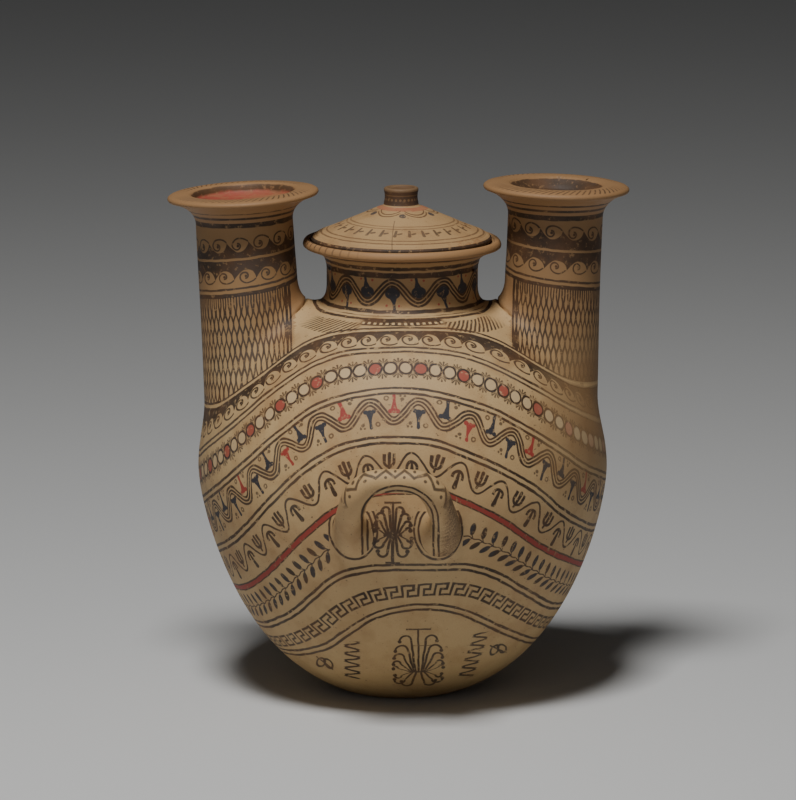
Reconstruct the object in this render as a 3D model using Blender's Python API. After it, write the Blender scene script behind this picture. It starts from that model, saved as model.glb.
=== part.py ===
# Askos: a thrown terracotta vessel with a round belly, a wide middle neck under a
# lifting lid, a tall neck on each side, and a loop handle on the front and the back.
# Metres, +Z up. The origin is the middle of the flat underside, the necks stand in a
# row along X, and the front is towards -Y.

import math

import bmesh
import bpy
from mathutils import Matrix, Vector

for leftover in list(bpy.data.objects):
    bpy.data.objects.remove(leftover, do_unlink=True)

# Driving sizes of the belly
belly_radius = 0.183
belly_height = 0.2034
shoulder_rise = 0.1614
bowl_depth = 0.209
bowl_spread = 2.4
bowl_slope = 1.55
base_radius = 0.042
belly_wall = 0.007
floor_wall = 0.009

# Driving sizes of the middle neck
neck_foot_radius = 0.0745
neck_waist_radius = 0.0674
neck_foot_rise = 0.013
neck_straight = 0.0285
neck_wall = 0.007
lip_radius = 0.0883
lip_flare = 0.0113
lip_height = 0.0057
lip_crest = 0.0045
seat_depth = 0.0026
seat_draft = 0.0016

# Driving sizes of the lid
lid_gap = 0.0003
lid_side_gap = 0.0014
lid_edge = 0.0046
lid_rise = 0.0225
lid_wall = 0.005
knob_radius = 0.0154
knob_waist = 0.0146
knob_height = 0.0148
knob_dish_radius = 0.0112
knob_dish_depth = 0.0028

# Driving sizes that the two side necks share
side_wall = 0.0068
foot_flare = 0.013
foot_flare_height = 0.012
rim_flare_height = 0.019
rim_edge_height = 0.0032
bore_start = 0.247
mouth_overlap = 0.002
cut_overlap = 0.004

# Driving sizes of each side neck. The left one is stopped by a sunken disc under its
# rim, and the right one is open.
left_neck = {
    "side": -1,
    "foot_offset": 0.134,
    "top_offset": 0.1413,
    "top_height": 0.4483,
    "foot_radius": 0.0446,
    "top_radius": 0.0430,
    "rim_radius": 0.0675,
    "crest_radius": 0.0468,
    "crest_height": 0.0036,
    "mouth_radius": 0.0441,
    "mouth_depth": 0.0072,
    "disc_wall": 0.006,
}
right_neck = {
    "side": 1,
    "foot_offset": 0.1325,
    "top_offset": 0.1372,
    "top_height": 0.4549,
    "foot_radius": 0.0428,
    "top_radius": 0.0422,
    "rim_radius": 0.0650,
    "crest_radius": 0.0424,
    "crest_height": 0.0045,
    "mouth_radius": 0.0315,
    "mouth_depth": 0.0083,
    "disc_wall": 0.0,
}
foot_offset_height = 0.300
neck_start = 0.236

# Driving sizes of the loop handles: half the spread of the legs at the root, at the
# knee and at the shoulder of the arch, then how far they stand out and rise
handle_height = 0.176
handle_turn = math.radians(-1.6)
handle_root_spread = 0.038
handle_leg_spread = 0.044
handle_reach = 0.0345
handle_rise = 0.0555
handle_root_radius = 0.0148
handle_leg_radius = 0.0118
handle_top_radius = 0.0104
handle_root_depth = 0.0135

# Facets
belly_sides = 48
belly_steps = 10
cavity_sides = 32
cavity_steps = 7
neck_sides = 24
neck_steps = 5
handle_sides = 10
lid_sides = 40

shoulder_top = belly_height + shoulder_rise * math.sqrt(1 - (neck_foot_radius / belly_radius) ** 2)


def bowl_radius_at(height):
    """Outer radius of the bowl, below the widest height of the belly."""
    drop = (belly_height - height) / bowl_depth
    return belly_radius * (1 - drop**bowl_slope) ** (1 / bowl_spread)


def shoulder_height_at(x, y):
    """Height of the shoulder's outer skin over a point of the plan."""
    reach = 1 - (x * x + y * y) / belly_radius**2
    return belly_height + shoulder_rise * math.sqrt(max(reach, 0))


def belly_profile(wall, floor, bottom_radius, top_radius, steps):
    """Half section of the belly, bottom to top, set in by the wall and the floor."""
    radius = belly_radius - wall
    depth = bowl_depth - floor
    rise = shoulder_rise - wall
    low = max(0.0, depth - belly_height + floor)
    start = math.asin(min(1.0, ((depth - low) / depth) ** (bowl_slope / 2)))
    points = [(bottom_radius, belly_height - depth + low)]
    for step in range(1, steps + 1):
        angle = start * (1 - step / steps)
        drop = depth * math.sin(angle) ** (2 / bowl_slope)
        points.append((radius * math.cos(angle) ** (2 / bowl_spread), belly_height - drop))
    stop = math.acos(top_radius / radius)
    for step in range(1, steps + 1):
        angle = stop * step / steps
        points.append((radius * math.cos(angle), belly_height + rise * math.sin(angle)))
    return points


def smooth_curve(points, steps):
    """A Catmull-Rom curve through the points, as a list with the given steps a stretch."""
    spots = [Vector(point) for point in points]
    spots = [2 * spots[0] - spots[1]] + spots + [2 * spots[-1] - spots[-2]]
    curve = []
    for a, b, c, d in zip(spots, spots[1:], spots[2:], spots[3:]):
        for step in range(steps):
            t = step / steps
            bend = 2 * a - 5 * b + 4 * c - d
            twist = 3 * b - a - 3 * c + d
            curve.append((2 * b + (c - a) * t + bend * t**2 + twist * t**3) / 2)
    curve.append(spots[-2])
    return curve


def clay(name, colour, roughness):
    """A fired clay material with a flat colour."""
    material = bpy.data.materials.new(name)
    material.use_nodes = True
    shader = material.node_tree.nodes["Principled BSDF"]
    shader.inputs["Base Color"].default_value = (*colour, 1)
    shader.inputs["Roughness"].default_value = roughness
    shader.inputs["Metallic"].default_value = 0
    return material


def add_piece(name, shape, place=None):
    """Puts a finished bmesh into the scene as one object, shaded smooth."""
    bmesh.ops.recalc_face_normals(shape, faces=shape.faces)
    mesh = bpy.data.meshes.new(name)
    shape.to_mesh(mesh)
    shape.free()
    mesh.shade_smooth()
    piece = bpy.data.objects.new(name, mesh)
    bpy.context.scene.collection.objects.link(piece)
    piece.matrix_world = place or Matrix()
    return piece


def lathe(name, profile, sides, place=None):
    """Turns a half section, given as radius and height, round its own Z axis."""
    shape = bmesh.new()
    outline = [shape.verts.new((radius, 0, height)) for radius, height in profile]
    edges = [shape.edges.new(pair) for pair in zip(outline, outline[1:])]
    bmesh.ops.spin(
        shape, geom=outline + edges, cent=(0, 0, 0), axis=(0, 0, 1),
        angle=2 * math.pi, steps=sides, use_merge=True,
    )
    bmesh.ops.remove_doubles(shape, verts=shape.verts, dist=0.000001)
    return add_piece(name, shape, place)


def loft(name, rings):
    """A closed skin through rings of equal count."""
    shape = bmesh.new()
    loops = [[shape.verts.new(point) for point in ring] for ring in rings]
    for low, high in zip(loops, loops[1:]):
        for here in range(len(low)):
            there = (here + 1) % len(low)
            shape.faces.new((low[here], low[there], high[there], high[here]))
    shape.faces.new(loops[0])
    shape.faces.new(loops[-1])
    return add_piece(name, shape)


def combine(target, other, operation):
    """Joins or cuts the target with another closed shape, which is then only a guide."""
    step = target.modifiers.new(other.name, "BOOLEAN")
    step.operation = operation
    step.solver = "EXACT"
    step.object = other
    other.hide_render = True
    other.display_type = "WIRE"


def neck_axis(neck):
    """Foot, unit direction and length to the rim's edge of a side neck's axis."""
    foot = Vector((neck["side"] * neck["foot_offset"], 0, foot_offset_height))
    top = Vector((neck["side"] * neck["top_offset"], 0, neck["top_height"]))
    along = (top - foot).normalized()
    return foot, along, (top - foot).length


def neck_frame(neck):
    """Matrix from a side neck's own frame, with its rim's edge at height 0, to the world."""
    foot, along, length = neck_axis(neck)
    turn = Vector((0, 0, 1)).rotation_difference(along).to_matrix().to_4x4()
    return Matrix.Translation(foot + along * length) @ turn


def side_neck(name, neck):
    """The outer form of a side neck, solid, from inside the shoulder to its crest."""
    frame = neck_frame(neck)
    length = neck_axis(neck)[2]
    start = neck_start - neck["top_height"]
    flare_foot = -rim_flare_height
    heights = [start + (flare_foot - start) * step / neck_steps for step in range(neck_steps + 1)]
    outline = []
    for height in heights:
        share = min(1.0, max(0.0, -height / length))
        radius = neck["top_radius"] + (neck["foot_radius"] - neck["top_radius"]) * share
        outline.append((radius, height))
    reach = neck["rim_radius"] - neck["top_radius"]
    for step in range(1, 5):
        share = step / 5
        outline.append((neck["top_radius"] + reach * share**1.6, flare_foot * (1 - share)))
    crest_run = neck["rim_radius"] - neck["crest_radius"]
    outline.append((neck["rim_radius"] - 0.0006, -rim_edge_height / 2))
    outline.append((neck["rim_radius"], rim_edge_height / 4))
    outline.append((neck["rim_radius"] - crest_run * 0.12, rim_edge_height * 0.8))
    outline.append((neck["rim_radius"] - crest_run * 0.45, neck["crest_height"] * 1.12))
    outline.append((neck["crest_radius"] - mouth_overlap, neck["crest_height"]))
    rings = []
    for radius, height in outline:
        ring = []
        for side in range(neck_sides):
            angle = 2 * math.pi * side / neck_sides
            spot = frame @ Vector((radius * math.cos(angle), radius * math.sin(angle), height))
            above = max(0.0, spot.z - shoulder_height_at(spot.x, spot.y))
            inward = (0.5 - 0.5 * neck["side"] * math.cos(angle)) ** 2
            grown = radius + foot_flare * inward * math.exp(-above / foot_flare_height)
            ring.append(frame @ Vector((grown * math.cos(angle), grown * math.sin(angle), height)))
        rings.append(ring)
    return loft(name, rings)


def side_bores(name, neck):
    """The hollow of a side neck: its bore, and its mouth where a disc parts the two."""
    frame = neck_frame(neck)
    crest = neck["crest_height"]
    mouth = crest - neck["mouth_depth"]
    slope = (neck["crest_radius"] - neck["mouth_radius"]) / neck["mouth_depth"]
    low = bore_start - neck["top_height"]
    bore = neck["foot_radius"] - side_wall
    top = neck["top_radius"] - side_wall
    funnel_top = [
        (neck["mouth_radius"], mouth),
        (neck["crest_radius"] + slope * cut_overlap, crest + cut_overlap),
        (0, crest + cut_overlap),
    ]
    if neck["disc_wall"] == 0:
        throat = mouth - rim_flare_height / 2
        profile = [(0, low), (bore, low), (top, throat - 0.012), (top, throat)] + funnel_top
        return [lathe(name + "_bore", profile, neck_sides, frame)]
    stop = mouth - neck["disc_wall"]
    profile = [(0, low), (bore, low), (top, stop - 0.004), (top - 0.004, stop), (0, stop)]
    return [
        lathe(name + "_bore", profile, neck_sides, frame),
        lathe(name + "_mouth", [(0, mouth)] + funnel_top, neck_sides, frame),
    ]


def loop_handle(name, turn):
    """A thick round loop, from root to root inside the wall, standing out as it rises."""
    skin = bowl_radius_at(handle_height)
    sag = skin - math.sqrt(skin**2 - handle_root_spread**2)
    half = [
        (handle_root_spread - 0.001, -sag - handle_root_depth, -0.007, handle_root_radius * 0.8),
        (handle_root_spread, -sag, 0, handle_root_radius),
        (handle_leg_spread - 0.001, handle_reach * 0.27, handle_rise * 0.26, handle_leg_radius),
        (handle_leg_spread, handle_reach * 0.62, handle_rise * 0.55, handle_leg_radius),
        (handle_leg_spread * 0.85, handle_reach * 0.86, handle_rise * 0.81, handle_leg_radius),
        (handle_leg_spread * 0.48, handle_reach * 0.98, handle_rise * 0.96, handle_top_radius),
    ]
    top = [(0, handle_reach, handle_rise, handle_top_radius)]
    mirrored = [(-across, *rest) for across, *rest in reversed(half)]
    path = smooth_curve(half + top + mirrored, 2)
    centres = [Vector((spot[0], -skin - spot[1], handle_height + spot[2])) for spot in path]
    lean = Vector((0, -handle_reach, handle_rise)).normalized()
    face = lean.cross(Vector((1, 0, 0))).normalized()
    spin = Matrix.Rotation(turn, 4, "Z")
    rings = []
    for place, centre in enumerate(centres):
        before = centres[max(place - 1, 0)]
        after = centres[min(place + 1, len(centres) - 1)]
        along = (after - before).normalized()
        across = along.cross(face).normalized()
        deep = across.cross(along).normalized()
        radius = path[place][3]
        ring = []
        for side in range(handle_sides):
            angle = 2 * math.pi * side / handle_sides
            ring.append(spin @ (centre + radius * (across * math.cos(angle) + deep * math.sin(angle))))
        rings.append(ring)
    return loft(name, rings)


def neck_and_lip_profile():
    """Outer half section of the middle neck, from the shoulder to the axis at its crest."""
    waist = shoulder_top + neck_foot_rise
    flare = waist + neck_straight
    edge = flare + lip_flare
    crest = edge + lip_height
    step_in = neck_foot_radius - neck_waist_radius
    points = [
        (neck_waist_radius + step_in * 0.62, shoulder_top + neck_foot_rise * 0.18),
        (neck_waist_radius + step_in * 0.25, shoulder_top + neck_foot_rise * 0.5),
        (neck_waist_radius, waist),
        (neck_waist_radius, waist + neck_straight * 0.45),
        (neck_waist_radius + 0.0018, flare),
    ]
    reach = lip_radius - neck_waist_radius
    for share in (0.3, 0.62):
        points.append((neck_waist_radius + reach * share, flare + lip_flare * share**1.2))
    points += [
        (lip_radius - 0.0014, edge - 0.0016),
        (lip_radius, edge),
        (lip_radius - lip_crest * 0.25, edge + lip_height * 0.6),
        (lip_radius - lip_crest * 0.6, crest - 0.0004),
        (lip_radius - lip_crest, crest),
    ]
    return points, crest


neck_points, crest_height = neck_and_lip_profile()
seat_height = crest_height - seat_depth
seat_outer = lip_radius - lip_crest - seat_draft
seat_inner = neck_waist_radius + 0.0035
throat_radius = neck_waist_radius - neck_wall


def make_vessel():
    """The one fired pot: belly, three necks, rims and handles, hollow throughout."""
    outer = belly_profile(0, 0, base_radius, neck_foot_radius, belly_steps)
    profile = [(0, 0)] + outer + neck_points + [(0, crest_height)]
    vessel = lathe("vessel", profile, belly_sides)
    combine(vessel, side_neck("left_neck", left_neck), "UNION")
    combine(vessel, side_neck("right_neck", right_neck), "UNION")
    combine(vessel, loop_handle("front_handle", handle_turn), "UNION")
    combine(vessel, loop_handle("back_handle", handle_turn + math.pi), "UNION")
    inner = belly_profile(belly_wall, floor_wall, base_radius, throat_radius + 0.004, cavity_steps)
    flare = shoulder_top + neck_foot_rise + neck_straight
    hollow = [(0, floor_wall)] + inner + [
        (throat_radius, shoulder_top + neck_foot_rise * 0.5),
        (throat_radius, flare - 0.006),
        (throat_radius + 0.004, flare + 0.001),
        (seat_inner - 0.0015, seat_height - 0.0035),
        (seat_inner, seat_height),
        (seat_outer, seat_height),
        (seat_outer + seat_draft, crest_height + cut_overlap),
        (0, crest_height + cut_overlap),
    ]
    combine(vessel, lathe("hollow", hollow, cavity_sides), "DIFFERENCE")
    for bore in side_bores("left", left_neck) + side_bores("right", right_neck):
        combine(vessel, bore, "DIFFERENCE")
    return vessel


def make_lid():
    """A low hollow cone with a rounded edge and a dished knob, resting on the seat."""
    under = seat_height + lid_gap
    edge = seat_outer - lid_side_gap
    shoulder = edge - 0.0079
    shoulder_up = under + lid_edge + 0.0036
    knob_foot = knob_radius + 0.0055
    slope = (shoulder - knob_foot) / lid_rise
    cone_top = shoulder_up + lid_rise
    knob_base = cone_top + 0.003
    knob_top = knob_base + knob_height
    profile = [
        (0, cone_top - lid_wall + 0.002),
        (knob_foot, cone_top - lid_wall),
        (shoulder - lid_wall / slope * 0.6, shoulder_up - lid_wall * 0.9),
        (shoulder - lid_wall / slope * 0.6 + 0.001, under),
        (edge - 0.0035, under),
        (edge - 0.001, under + lid_edge * 0.25),
        (edge, under + lid_edge * 0.6),
        (edge - 0.0012, under + lid_edge),
        (edge - 0.0038, under + lid_edge + 0.0017),
        (shoulder, shoulder_up),
        (knob_foot, cone_top),
        (knob_radius + 0.0012, cone_top + 0.0024),
        (knob_radius, knob_base),
        (knob_waist, knob_base + knob_height * 0.3),
        (knob_waist, knob_base + knob_height * 0.65),
        (knob_radius, knob_base + knob_height * 0.88),
        (knob_radius - 0.0012, knob_top),
        (knob_dish_radius, knob_top),
        (knob_dish_radius - 0.0025, knob_top - knob_dish_depth * 0.75),
        (0, knob_top - knob_dish_depth),
    ]
    return lathe("lid", profile, lid_sides)


slip_clay = clay("painted_clay", (0.47, 0.33, 0.19), 0.72)
lid_clay = clay("lid_clay", (0.47, 0.31, 0.17), 0.72)
make_vessel().data.materials.append(slip_clay)
make_lid().data.materials.append(lid_clay)
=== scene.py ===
import math

import bmesh
import bpy
import numpy as np
from mathutils import Matrix, Vector


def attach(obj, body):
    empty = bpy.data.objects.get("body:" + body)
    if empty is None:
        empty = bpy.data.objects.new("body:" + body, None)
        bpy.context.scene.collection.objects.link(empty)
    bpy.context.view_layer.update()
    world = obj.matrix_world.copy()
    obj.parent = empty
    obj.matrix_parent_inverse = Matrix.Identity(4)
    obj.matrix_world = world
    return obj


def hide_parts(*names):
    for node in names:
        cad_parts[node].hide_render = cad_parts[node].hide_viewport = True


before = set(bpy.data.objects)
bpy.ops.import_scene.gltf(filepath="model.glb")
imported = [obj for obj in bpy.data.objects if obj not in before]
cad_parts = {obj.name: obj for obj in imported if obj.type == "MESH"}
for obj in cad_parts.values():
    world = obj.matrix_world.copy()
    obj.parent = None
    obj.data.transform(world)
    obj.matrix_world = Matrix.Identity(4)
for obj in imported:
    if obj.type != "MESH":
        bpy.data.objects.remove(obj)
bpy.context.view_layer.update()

print("frame loaded")

# The belly and the middle neck, in millimetres. The origin is the middle of the underside
belly = {
    "radius": 183.0,
    "height": 203.4,
    "rise": 161.4,
    "bowlDepth": 209.0,
    "bowlSpread": 2.4,
    "bowlSlope": 1.55,
    "wall": 7.0,
    "floor": 9.0,
    "columns": 288,
    "rowSpacing": 4.4,
    "neckFootRadius": 74.5,
    "unevenness": 0.55,
    "base": [(42.0, 0.0), (46.8, 0.2), (50.2, 0.7), (52.5, 1.2)],
    "innerFloor": [(30.0, 0.0), (46.0, 1.0)],
    "innerBowlSteps": 24,
    "innerDomeSteps": 21,
    "innerNeckRadius": 66.5,
    "neckProfile": [
        (72.3, 352.3), (70.6, 354.4), (69.2, 356.9), (68.2, 360.0), (67.6, 363.5), (67.4, 367.5),
        (67.4, 372.0), (67.4, 377.0), (67.4, 382.0), (67.6, 386.0), (68.2, 389.6), (69.4, 392.4),
        (71.4, 394.7), (74.2, 396.8), (77.6, 398.6), (81.2, 400.1), (84.6, 401.3), (86.8, 402.1),
        (88.1, 403.2), (88.4, 404.6), (88.1, 406.2), (87.4, 407.7), (86.3, 408.9), (85.0, 409.4),
        (83.8, 409.3),
    ],
    "seatProfile": [
        (82.9, 408.7), (82.4, 407.8), (82.2, 406.7), (76.0, 406.6), (70.9, 406.5), (69.0, 402.6),
        (66.0, 397.5), (62.6, 391.8), (60.6, 387.5), (60.4, 380.0), (60.4, 368.0), (61.0, 359.0),
        (63.4, 353.6),
    ],
    "mouth": [(83.8, 409.3), (84.6, 411.5)],
}

# The two tall necks, in millimetres. Heights of the profiles are from the rim's edge
sideNecks = {
    "left": {
        "side": -1, "footOffset": 134.0, "topOffset": 141.3, "topHeight": 448.3,
        "footRadius": 44.6, "topRadius": 43.0, "boreTop": -9.6, "boreEase": 0.5,
        "rim": [
            (43.2, -22.0), (43.8, -18.5), (45.2, -15.0), (47.6, -11.6), (51.2, -8.2), (56.0, -5.2),
            (60.8, -3.1), (64.6, -1.9), (66.7, -1.2), (67.5, 0.2), (67.2, 1.7), (65.6, 2.9),
            (61.0, 3.7), (55.0, 4.3), (50.0, 4.2), (46.8, 3.6), (45.4, 1.6), (44.6, -1.4), (44.1, -3.6),
        ],
    },
    "right": {
        "side": 1, "footOffset": 132.5, "topOffset": 137.2, "topHeight": 454.9,
        "footRadius": 42.8, "topRadius": 42.2, "boreEase": 0.4,
        "rim": [
            (42.4, -22.0), (43.1, -18.5), (44.6, -15.0), (47.1, -11.6), (50.5, -8.2), (54.8, -5.2),
            (59.0, -3.1), (62.4, -1.9), (64.3, -1.2), (65.0, 0.2), (64.6, 1.8), (62.8, 3.2),
            (57.6, 4.6), (51.0, 5.3), (45.6, 5.1), (42.4, 4.5),
        ],
        "funnel": [
            (35.4, -17.0), (32.4, -11.0), (31.5, -7.0), (32.6, -4.2), (36.2, -1.2), (39.6, 1.8),
            (42.4, 4.5), (45.4, 7.5),
        ],
    },
    "wall": 6.8,
    "columns": 144,
    "boreColumns": 96,
    "rowSpacing": 4.4,
    "start": 238.0,
    "boreStart": 247.0,
}

# The loop handles, in millimetres: across, out from the wall, up from the feet, radius
handles = {
    "height": 176.0,
    "turn": math.radians(-1.6),
    "faceLift": 0.185,
    "horseshoe": {"middle": 3.4, "top": 185.0, "halfWide": 33.3, "high": 30.0},
    "sides": 36,
    "steps": 9,
    "half": [
        (37.0, -16.0, -7.0, 11.8),
        (38.0, -3.6, 0.0, 14.8),
        (42.0, 9.3, 14.4, 11.9),
        (38.4, 21.4, 29.0, 11.8),
        (33.6, 29.2, 42.0, 11.8),
        (21.4, 33.8, 53.3, 10.8),
        (0.0, 34.5, 55.5, 10.4),
    ],
}

# Heights of the painted lines in millimetres, each at these angles round from the front
lineAngles = (-90, -75, -60, -50, -40, -30, -20, -10, 0, 10, 20, 30, 40, 50, 60, 75, 90)
lines = {
    "A": (
        260, 268.5, 298, 325.5, 336, 339.8, 341.5, 342.3, 342.6,
        342.3, 341.6, 340, 336.2, 327, 308, 286.5, 280,
    ),
    "C": (
        216, 231.5, 259.5, 288, 311, 322.5, 326.8, 328.3, 328.9,
        328, 325.6, 320, 309, 293.3, 276, 256.7, 246,
    ),
    "E": (
        175, 184.5, 206.5, 229.5, 257, 281, 292, 297, 298.2,
        295.5, 288.7, 278.3, 260.8, 241.7, 222.5, 205, 195.5,
    ),
    "G": (
        130, 137.3, 153, 172, 198, 227, 248, 256.7, 258.2,
        254.7, 242.5, 227, 208, 185.5, 170, 155.6, 150,
    ),
    "I": (
        97.6, 100.2, 109, 122, 142, 167.7, 193, 210, 214,
        212, 198.5, 181.3, 161, 145.2, 134.5, 122, 117,
    ),
    "K": (
        64.5, 66, 70.7, 78.8, 90.5, 109.4, 131.4, 140.4, 142.2,
        141.4, 140, 129.6, 114, 100.5, 89.8, 82, 79.5,
    ),
    "M": (
        39.3, 40.5, 42.5, 45.5, 51, 59, 75, 92, 100.6,
        101.8, 95.6, 83, 71, 62, 55, 48.8, 46,
    ),
}


def bowlRadius(height):
    drop = np.clip((belly["height"] - height) / belly["bowlDepth"], 0, 0.999)
    return belly["radius"] * (1 - drop ** belly["bowlSlope"]) ** (1 / belly["bowlSpread"])


def domeRadius(height):
    share = np.clip((height - belly["height"]) / belly["rise"], 0, 1)
    return belly["radius"] * np.sqrt(1 - share**2)


neckShare = belly["neckFootRadius"] / belly["radius"]
shoulderTop = belly["height"] + belly["rise"] * math.sqrt(1 - neckShare**2)
skinHeights = np.concatenate([
    [0.0, 0.2, 0.7],
    np.linspace(1.2, belly["height"], 160),
    np.linspace(belly["height"] + 0.5, shoulderTop, 160),
])
skinRadii = np.where(skinHeights <= belly["height"], bowlRadius(skinHeights), domeRadius(skinHeights))
skinRadii[:3] = [spot[0] for spot in belly["base"][:3]]
skinRun = np.concatenate([[0], np.cumsum(np.hypot(np.diff(skinHeights), np.diff(skinRadii)))])


def runAt(height):
    return np.interp(height, skinHeights, skinRun)


def heightAt(run):
    return np.interp(run, skinRun, skinHeights)


def radiusAt(height):
    return np.interp(height, skinHeights, skinRadii)


def folded(angle):
    wrapped = (angle + 180) % 360 - 180
    return np.where(np.abs(wrapped) <= 90, wrapped, np.sign(wrapped) * 180 - wrapped)


# How much larger the front of the belly looks than its sides, and the height where that
# moves nothing up or down
nearness = {"share": 0.026, "height": 290.0}


def trueAngle(angle):
    turn = np.radians(np.array(angle, float))
    return np.degrees(np.arcsin(np.sin(turn) / (1 + nearness["share"] * np.cos(turn))))


def lineHeight(name, angle):
    at = trueAngle(lineAngles)
    high = np.array(lines[name], float)
    depth = np.maximum(nearness["height"] - high, 0)
    high += depth * nearness["share"] * np.cos(np.radians(lineAngles))
    slope = np.gradient(high, at)
    slope[0] = 0.0
    slope[-1] = 0.0
    place = np.clip(folded(angle), at[0], at[-1])
    step = np.clip(np.searchsorted(at, place) - 1, 0, len(at) - 2)
    span = at[step + 1] - at[step]
    t = (place - at[step]) / span
    leaving = high[step] * (1 + 2 * t) + span * t * slope[step]
    arriving = high[step + 1] * (3 - 2 * t) - span * (1 - t) * slope[step + 1]
    return leaving * (1 - t) ** 2 + arriving * t**2


def unevenBy(points, amount):
    x, y, z = points.T / 1000
    shift = np.stack([
        np.sin(17 * y + 9 * z + 1.0) + 0.6 * np.sin(31 * z - 12 * x + 2.0) + 0.3 * np.sin(70 * y + 3),
        np.sin(15 * x - 11 * z + 0.4) + 0.6 * np.sin(27 * z + 14 * y + 4.0) + 0.3 * np.sin(64 * x + 1),
        0.7 * np.sin(19 * x + 13 * y + 2.2) + 0.4 * np.sin(37 * y - 21 * x + 0.7),
    ], 1)
    hold = np.clip(points[:, 2] / 25, 0, 1)[:, None]
    return points + shift * amount * hold


# Materials of the zones, in the order of the piece's material slots
zones = [
    "bottom", "bandL", "bandJ", "bandH", "bandF", "bandD", "bandB", "shoulder",
    "middleNeck", "leftNeck", "rightNeck", "leftRim", "rightRim", "handle", "inside",
]
zoneNumber = {name: place for place, name in enumerate(zones)}


def newObject(name, points, faces, numbers=None):
    mesh = bpy.data.meshes.new(name)
    mesh.from_pydata([tuple(point) for point in points], [], faces)
    for material in paints.values():
        mesh.materials.append(material)
    if numbers is not None:
        mesh.polygons.foreach_set("material_index", numbers)
    mesh.shade_smooth()
    mesh.update()
    thing = bpy.data.objects.new(name, mesh)
    bpy.context.scene.collection.objects.link(thing)
    return thing


def readAll(items, name, width=1, kind=float):
    values = np.zeros(len(items) * width, kind)
    items.foreach_get(name, values)
    return values


def pointsOf(mesh):
    return readAll(mesh.vertices, "co", 3).reshape(-1, 3)


def movePoints(mesh, points):
    mesh.vertices.foreach_set("co", points.ravel())
    mesh.shade_smooth()
    mesh.update()


def faceOutwards(mesh):
    shape = bmesh.new()
    shape.from_mesh(mesh)
    bmesh.ops.recalc_face_normals(shape, faces=shape.faces)
    shape.to_mesh(mesh)
    shape.free()


def turned(rows, columns):
    angles = np.radians(-180 + 360 * np.arange(columns) / columns)
    points = []
    for radius, height in rows:
        radius = radius * np.ones(columns)
        height = height * np.ones(columns)
        points.append(np.stack([radius * np.sin(angles), -radius * np.cos(angles), height], 1))
    return np.concatenate(points)


def wallFaces(rowCount, columns, numbers, capNumbers):
    faces = []
    zoneOf = []
    for row in range(rowCount - 1):
        low = row * columns
        high = low + columns
        for here in range(columns):
            there = (here + 1) % columns
            faces.append((low + here, low + there, high + there, high + here))
            zoneOf.append(numbers[row])
    faces.append(tuple(reversed(range(columns))))
    faces.append(tuple(range((rowCount - 1) * columns, rowCount * columns)))
    zoneOf += capNumbers
    return faces, zoneOf


def outerBelly():
    angles = -180 + 360 * np.arange(belly["columns"]) / belly["columns"]
    order = [None, "M", "K", "I", "G", "E", "C", "A", None]
    names = ["bottom", "bandL", "bandJ", "bandH", "bandF", "bandD", "bandB", "shoulder"]
    rows = list(belly["base"])
    numbers = [zoneNumber["bottom"]] * len(rows)
    for lowName, highName, zone in zip(order, order[1:], names):
        low = runAt(lineHeight(lowName, angles) if lowName else belly["base"][-1][1])
        high = runAt(lineHeight(highName, angles) if highName else shoulderTop)
        steps = max(2, math.ceil(float((high - low).max()) / belly["rowSpacing"]))
        for step in range(1, steps + 1):
            height = heightAt(low + (high - low) * step / steps)
            rows.append((radiusAt(height), height))
            numbers.append(zoneNumber[zone])
    numbers = numbers[1:]
    for radius, height in belly["neckProfile"]:
        rows.append((radius, height))
        numbers.append(zoneNumber["middleNeck"])
    points = turned(rows, belly["columns"])
    faces, zoneOf = wallFaces(
        len(rows), belly["columns"], numbers, [zoneNumber["bottom"], zoneNumber["middleNeck"]])
    return newObject("pot", points, faces, zoneOf)


def innerBelly():
    radius = belly["radius"] - belly["wall"]
    depth = belly["bowlDepth"] - belly["floor"]
    rise = belly["rise"] - belly["wall"]
    low = max(0.0, depth - belly["height"] + belly["floor"])
    start = math.asin(((depth - low) / depth) ** (belly["bowlSlope"] / 2))
    rows = [(across, belly["floor"] + up) for across, up in belly["innerFloor"]]
    for step in range(2, belly["innerBowlSteps"] + 1):
        angle = start * (1 - step / belly["innerBowlSteps"])
        drop = depth * math.sin(angle) ** (2 / belly["bowlSlope"])
        rows.append((radius * math.cos(angle) ** (2 / belly["bowlSpread"]), belly["height"] - drop))
    stop = math.acos(belly["innerNeckRadius"] / radius)
    for step in range(1, belly["innerDomeSteps"] + 1):
        angle = stop * step / belly["innerDomeSteps"]
        rows.append((radius * math.cos(angle), belly["height"] + rise * math.sin(angle)))
    rows += list(reversed(belly["seatProfile"])) + belly["mouth"]
    columns = belly["columns"] // 2
    points = turned(rows, columns)
    numbers = [zoneNumber["inside"]] * (len(rows) - 1)
    faces, zoneOf = wallFaces(len(rows), columns, numbers, [zoneNumber["inside"]] * 2)
    return newObject("hollow", points, faces, zoneOf)


def neckFrame(neck):
    foot = Vector((neck["side"] * neck["footOffset"], 0, 300.0))
    top = Vector((neck["side"] * neck["topOffset"], 0, neck["topHeight"]))
    along = (top - foot).normalized()
    turn = Vector((0, 0, 1)).rotation_difference(along).to_matrix().to_4x4()
    return Matrix.Translation(top) @ turn, (top - foot).length


def shaftRadius(neck, height, length):
    share = np.clip(-height / length, 0, 1.4)
    return neck["topRadius"] + (neck["footRadius"] - neck["topRadius"]) * share


def placed(points, matrix):
    turn = np.array(matrix)
    return points @ turn[:3, :3].T + turn[:3, 3]


def inNeck(points, key):
    return placed(points, neckFrame(sideNecks[key])[0].inverted())


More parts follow.
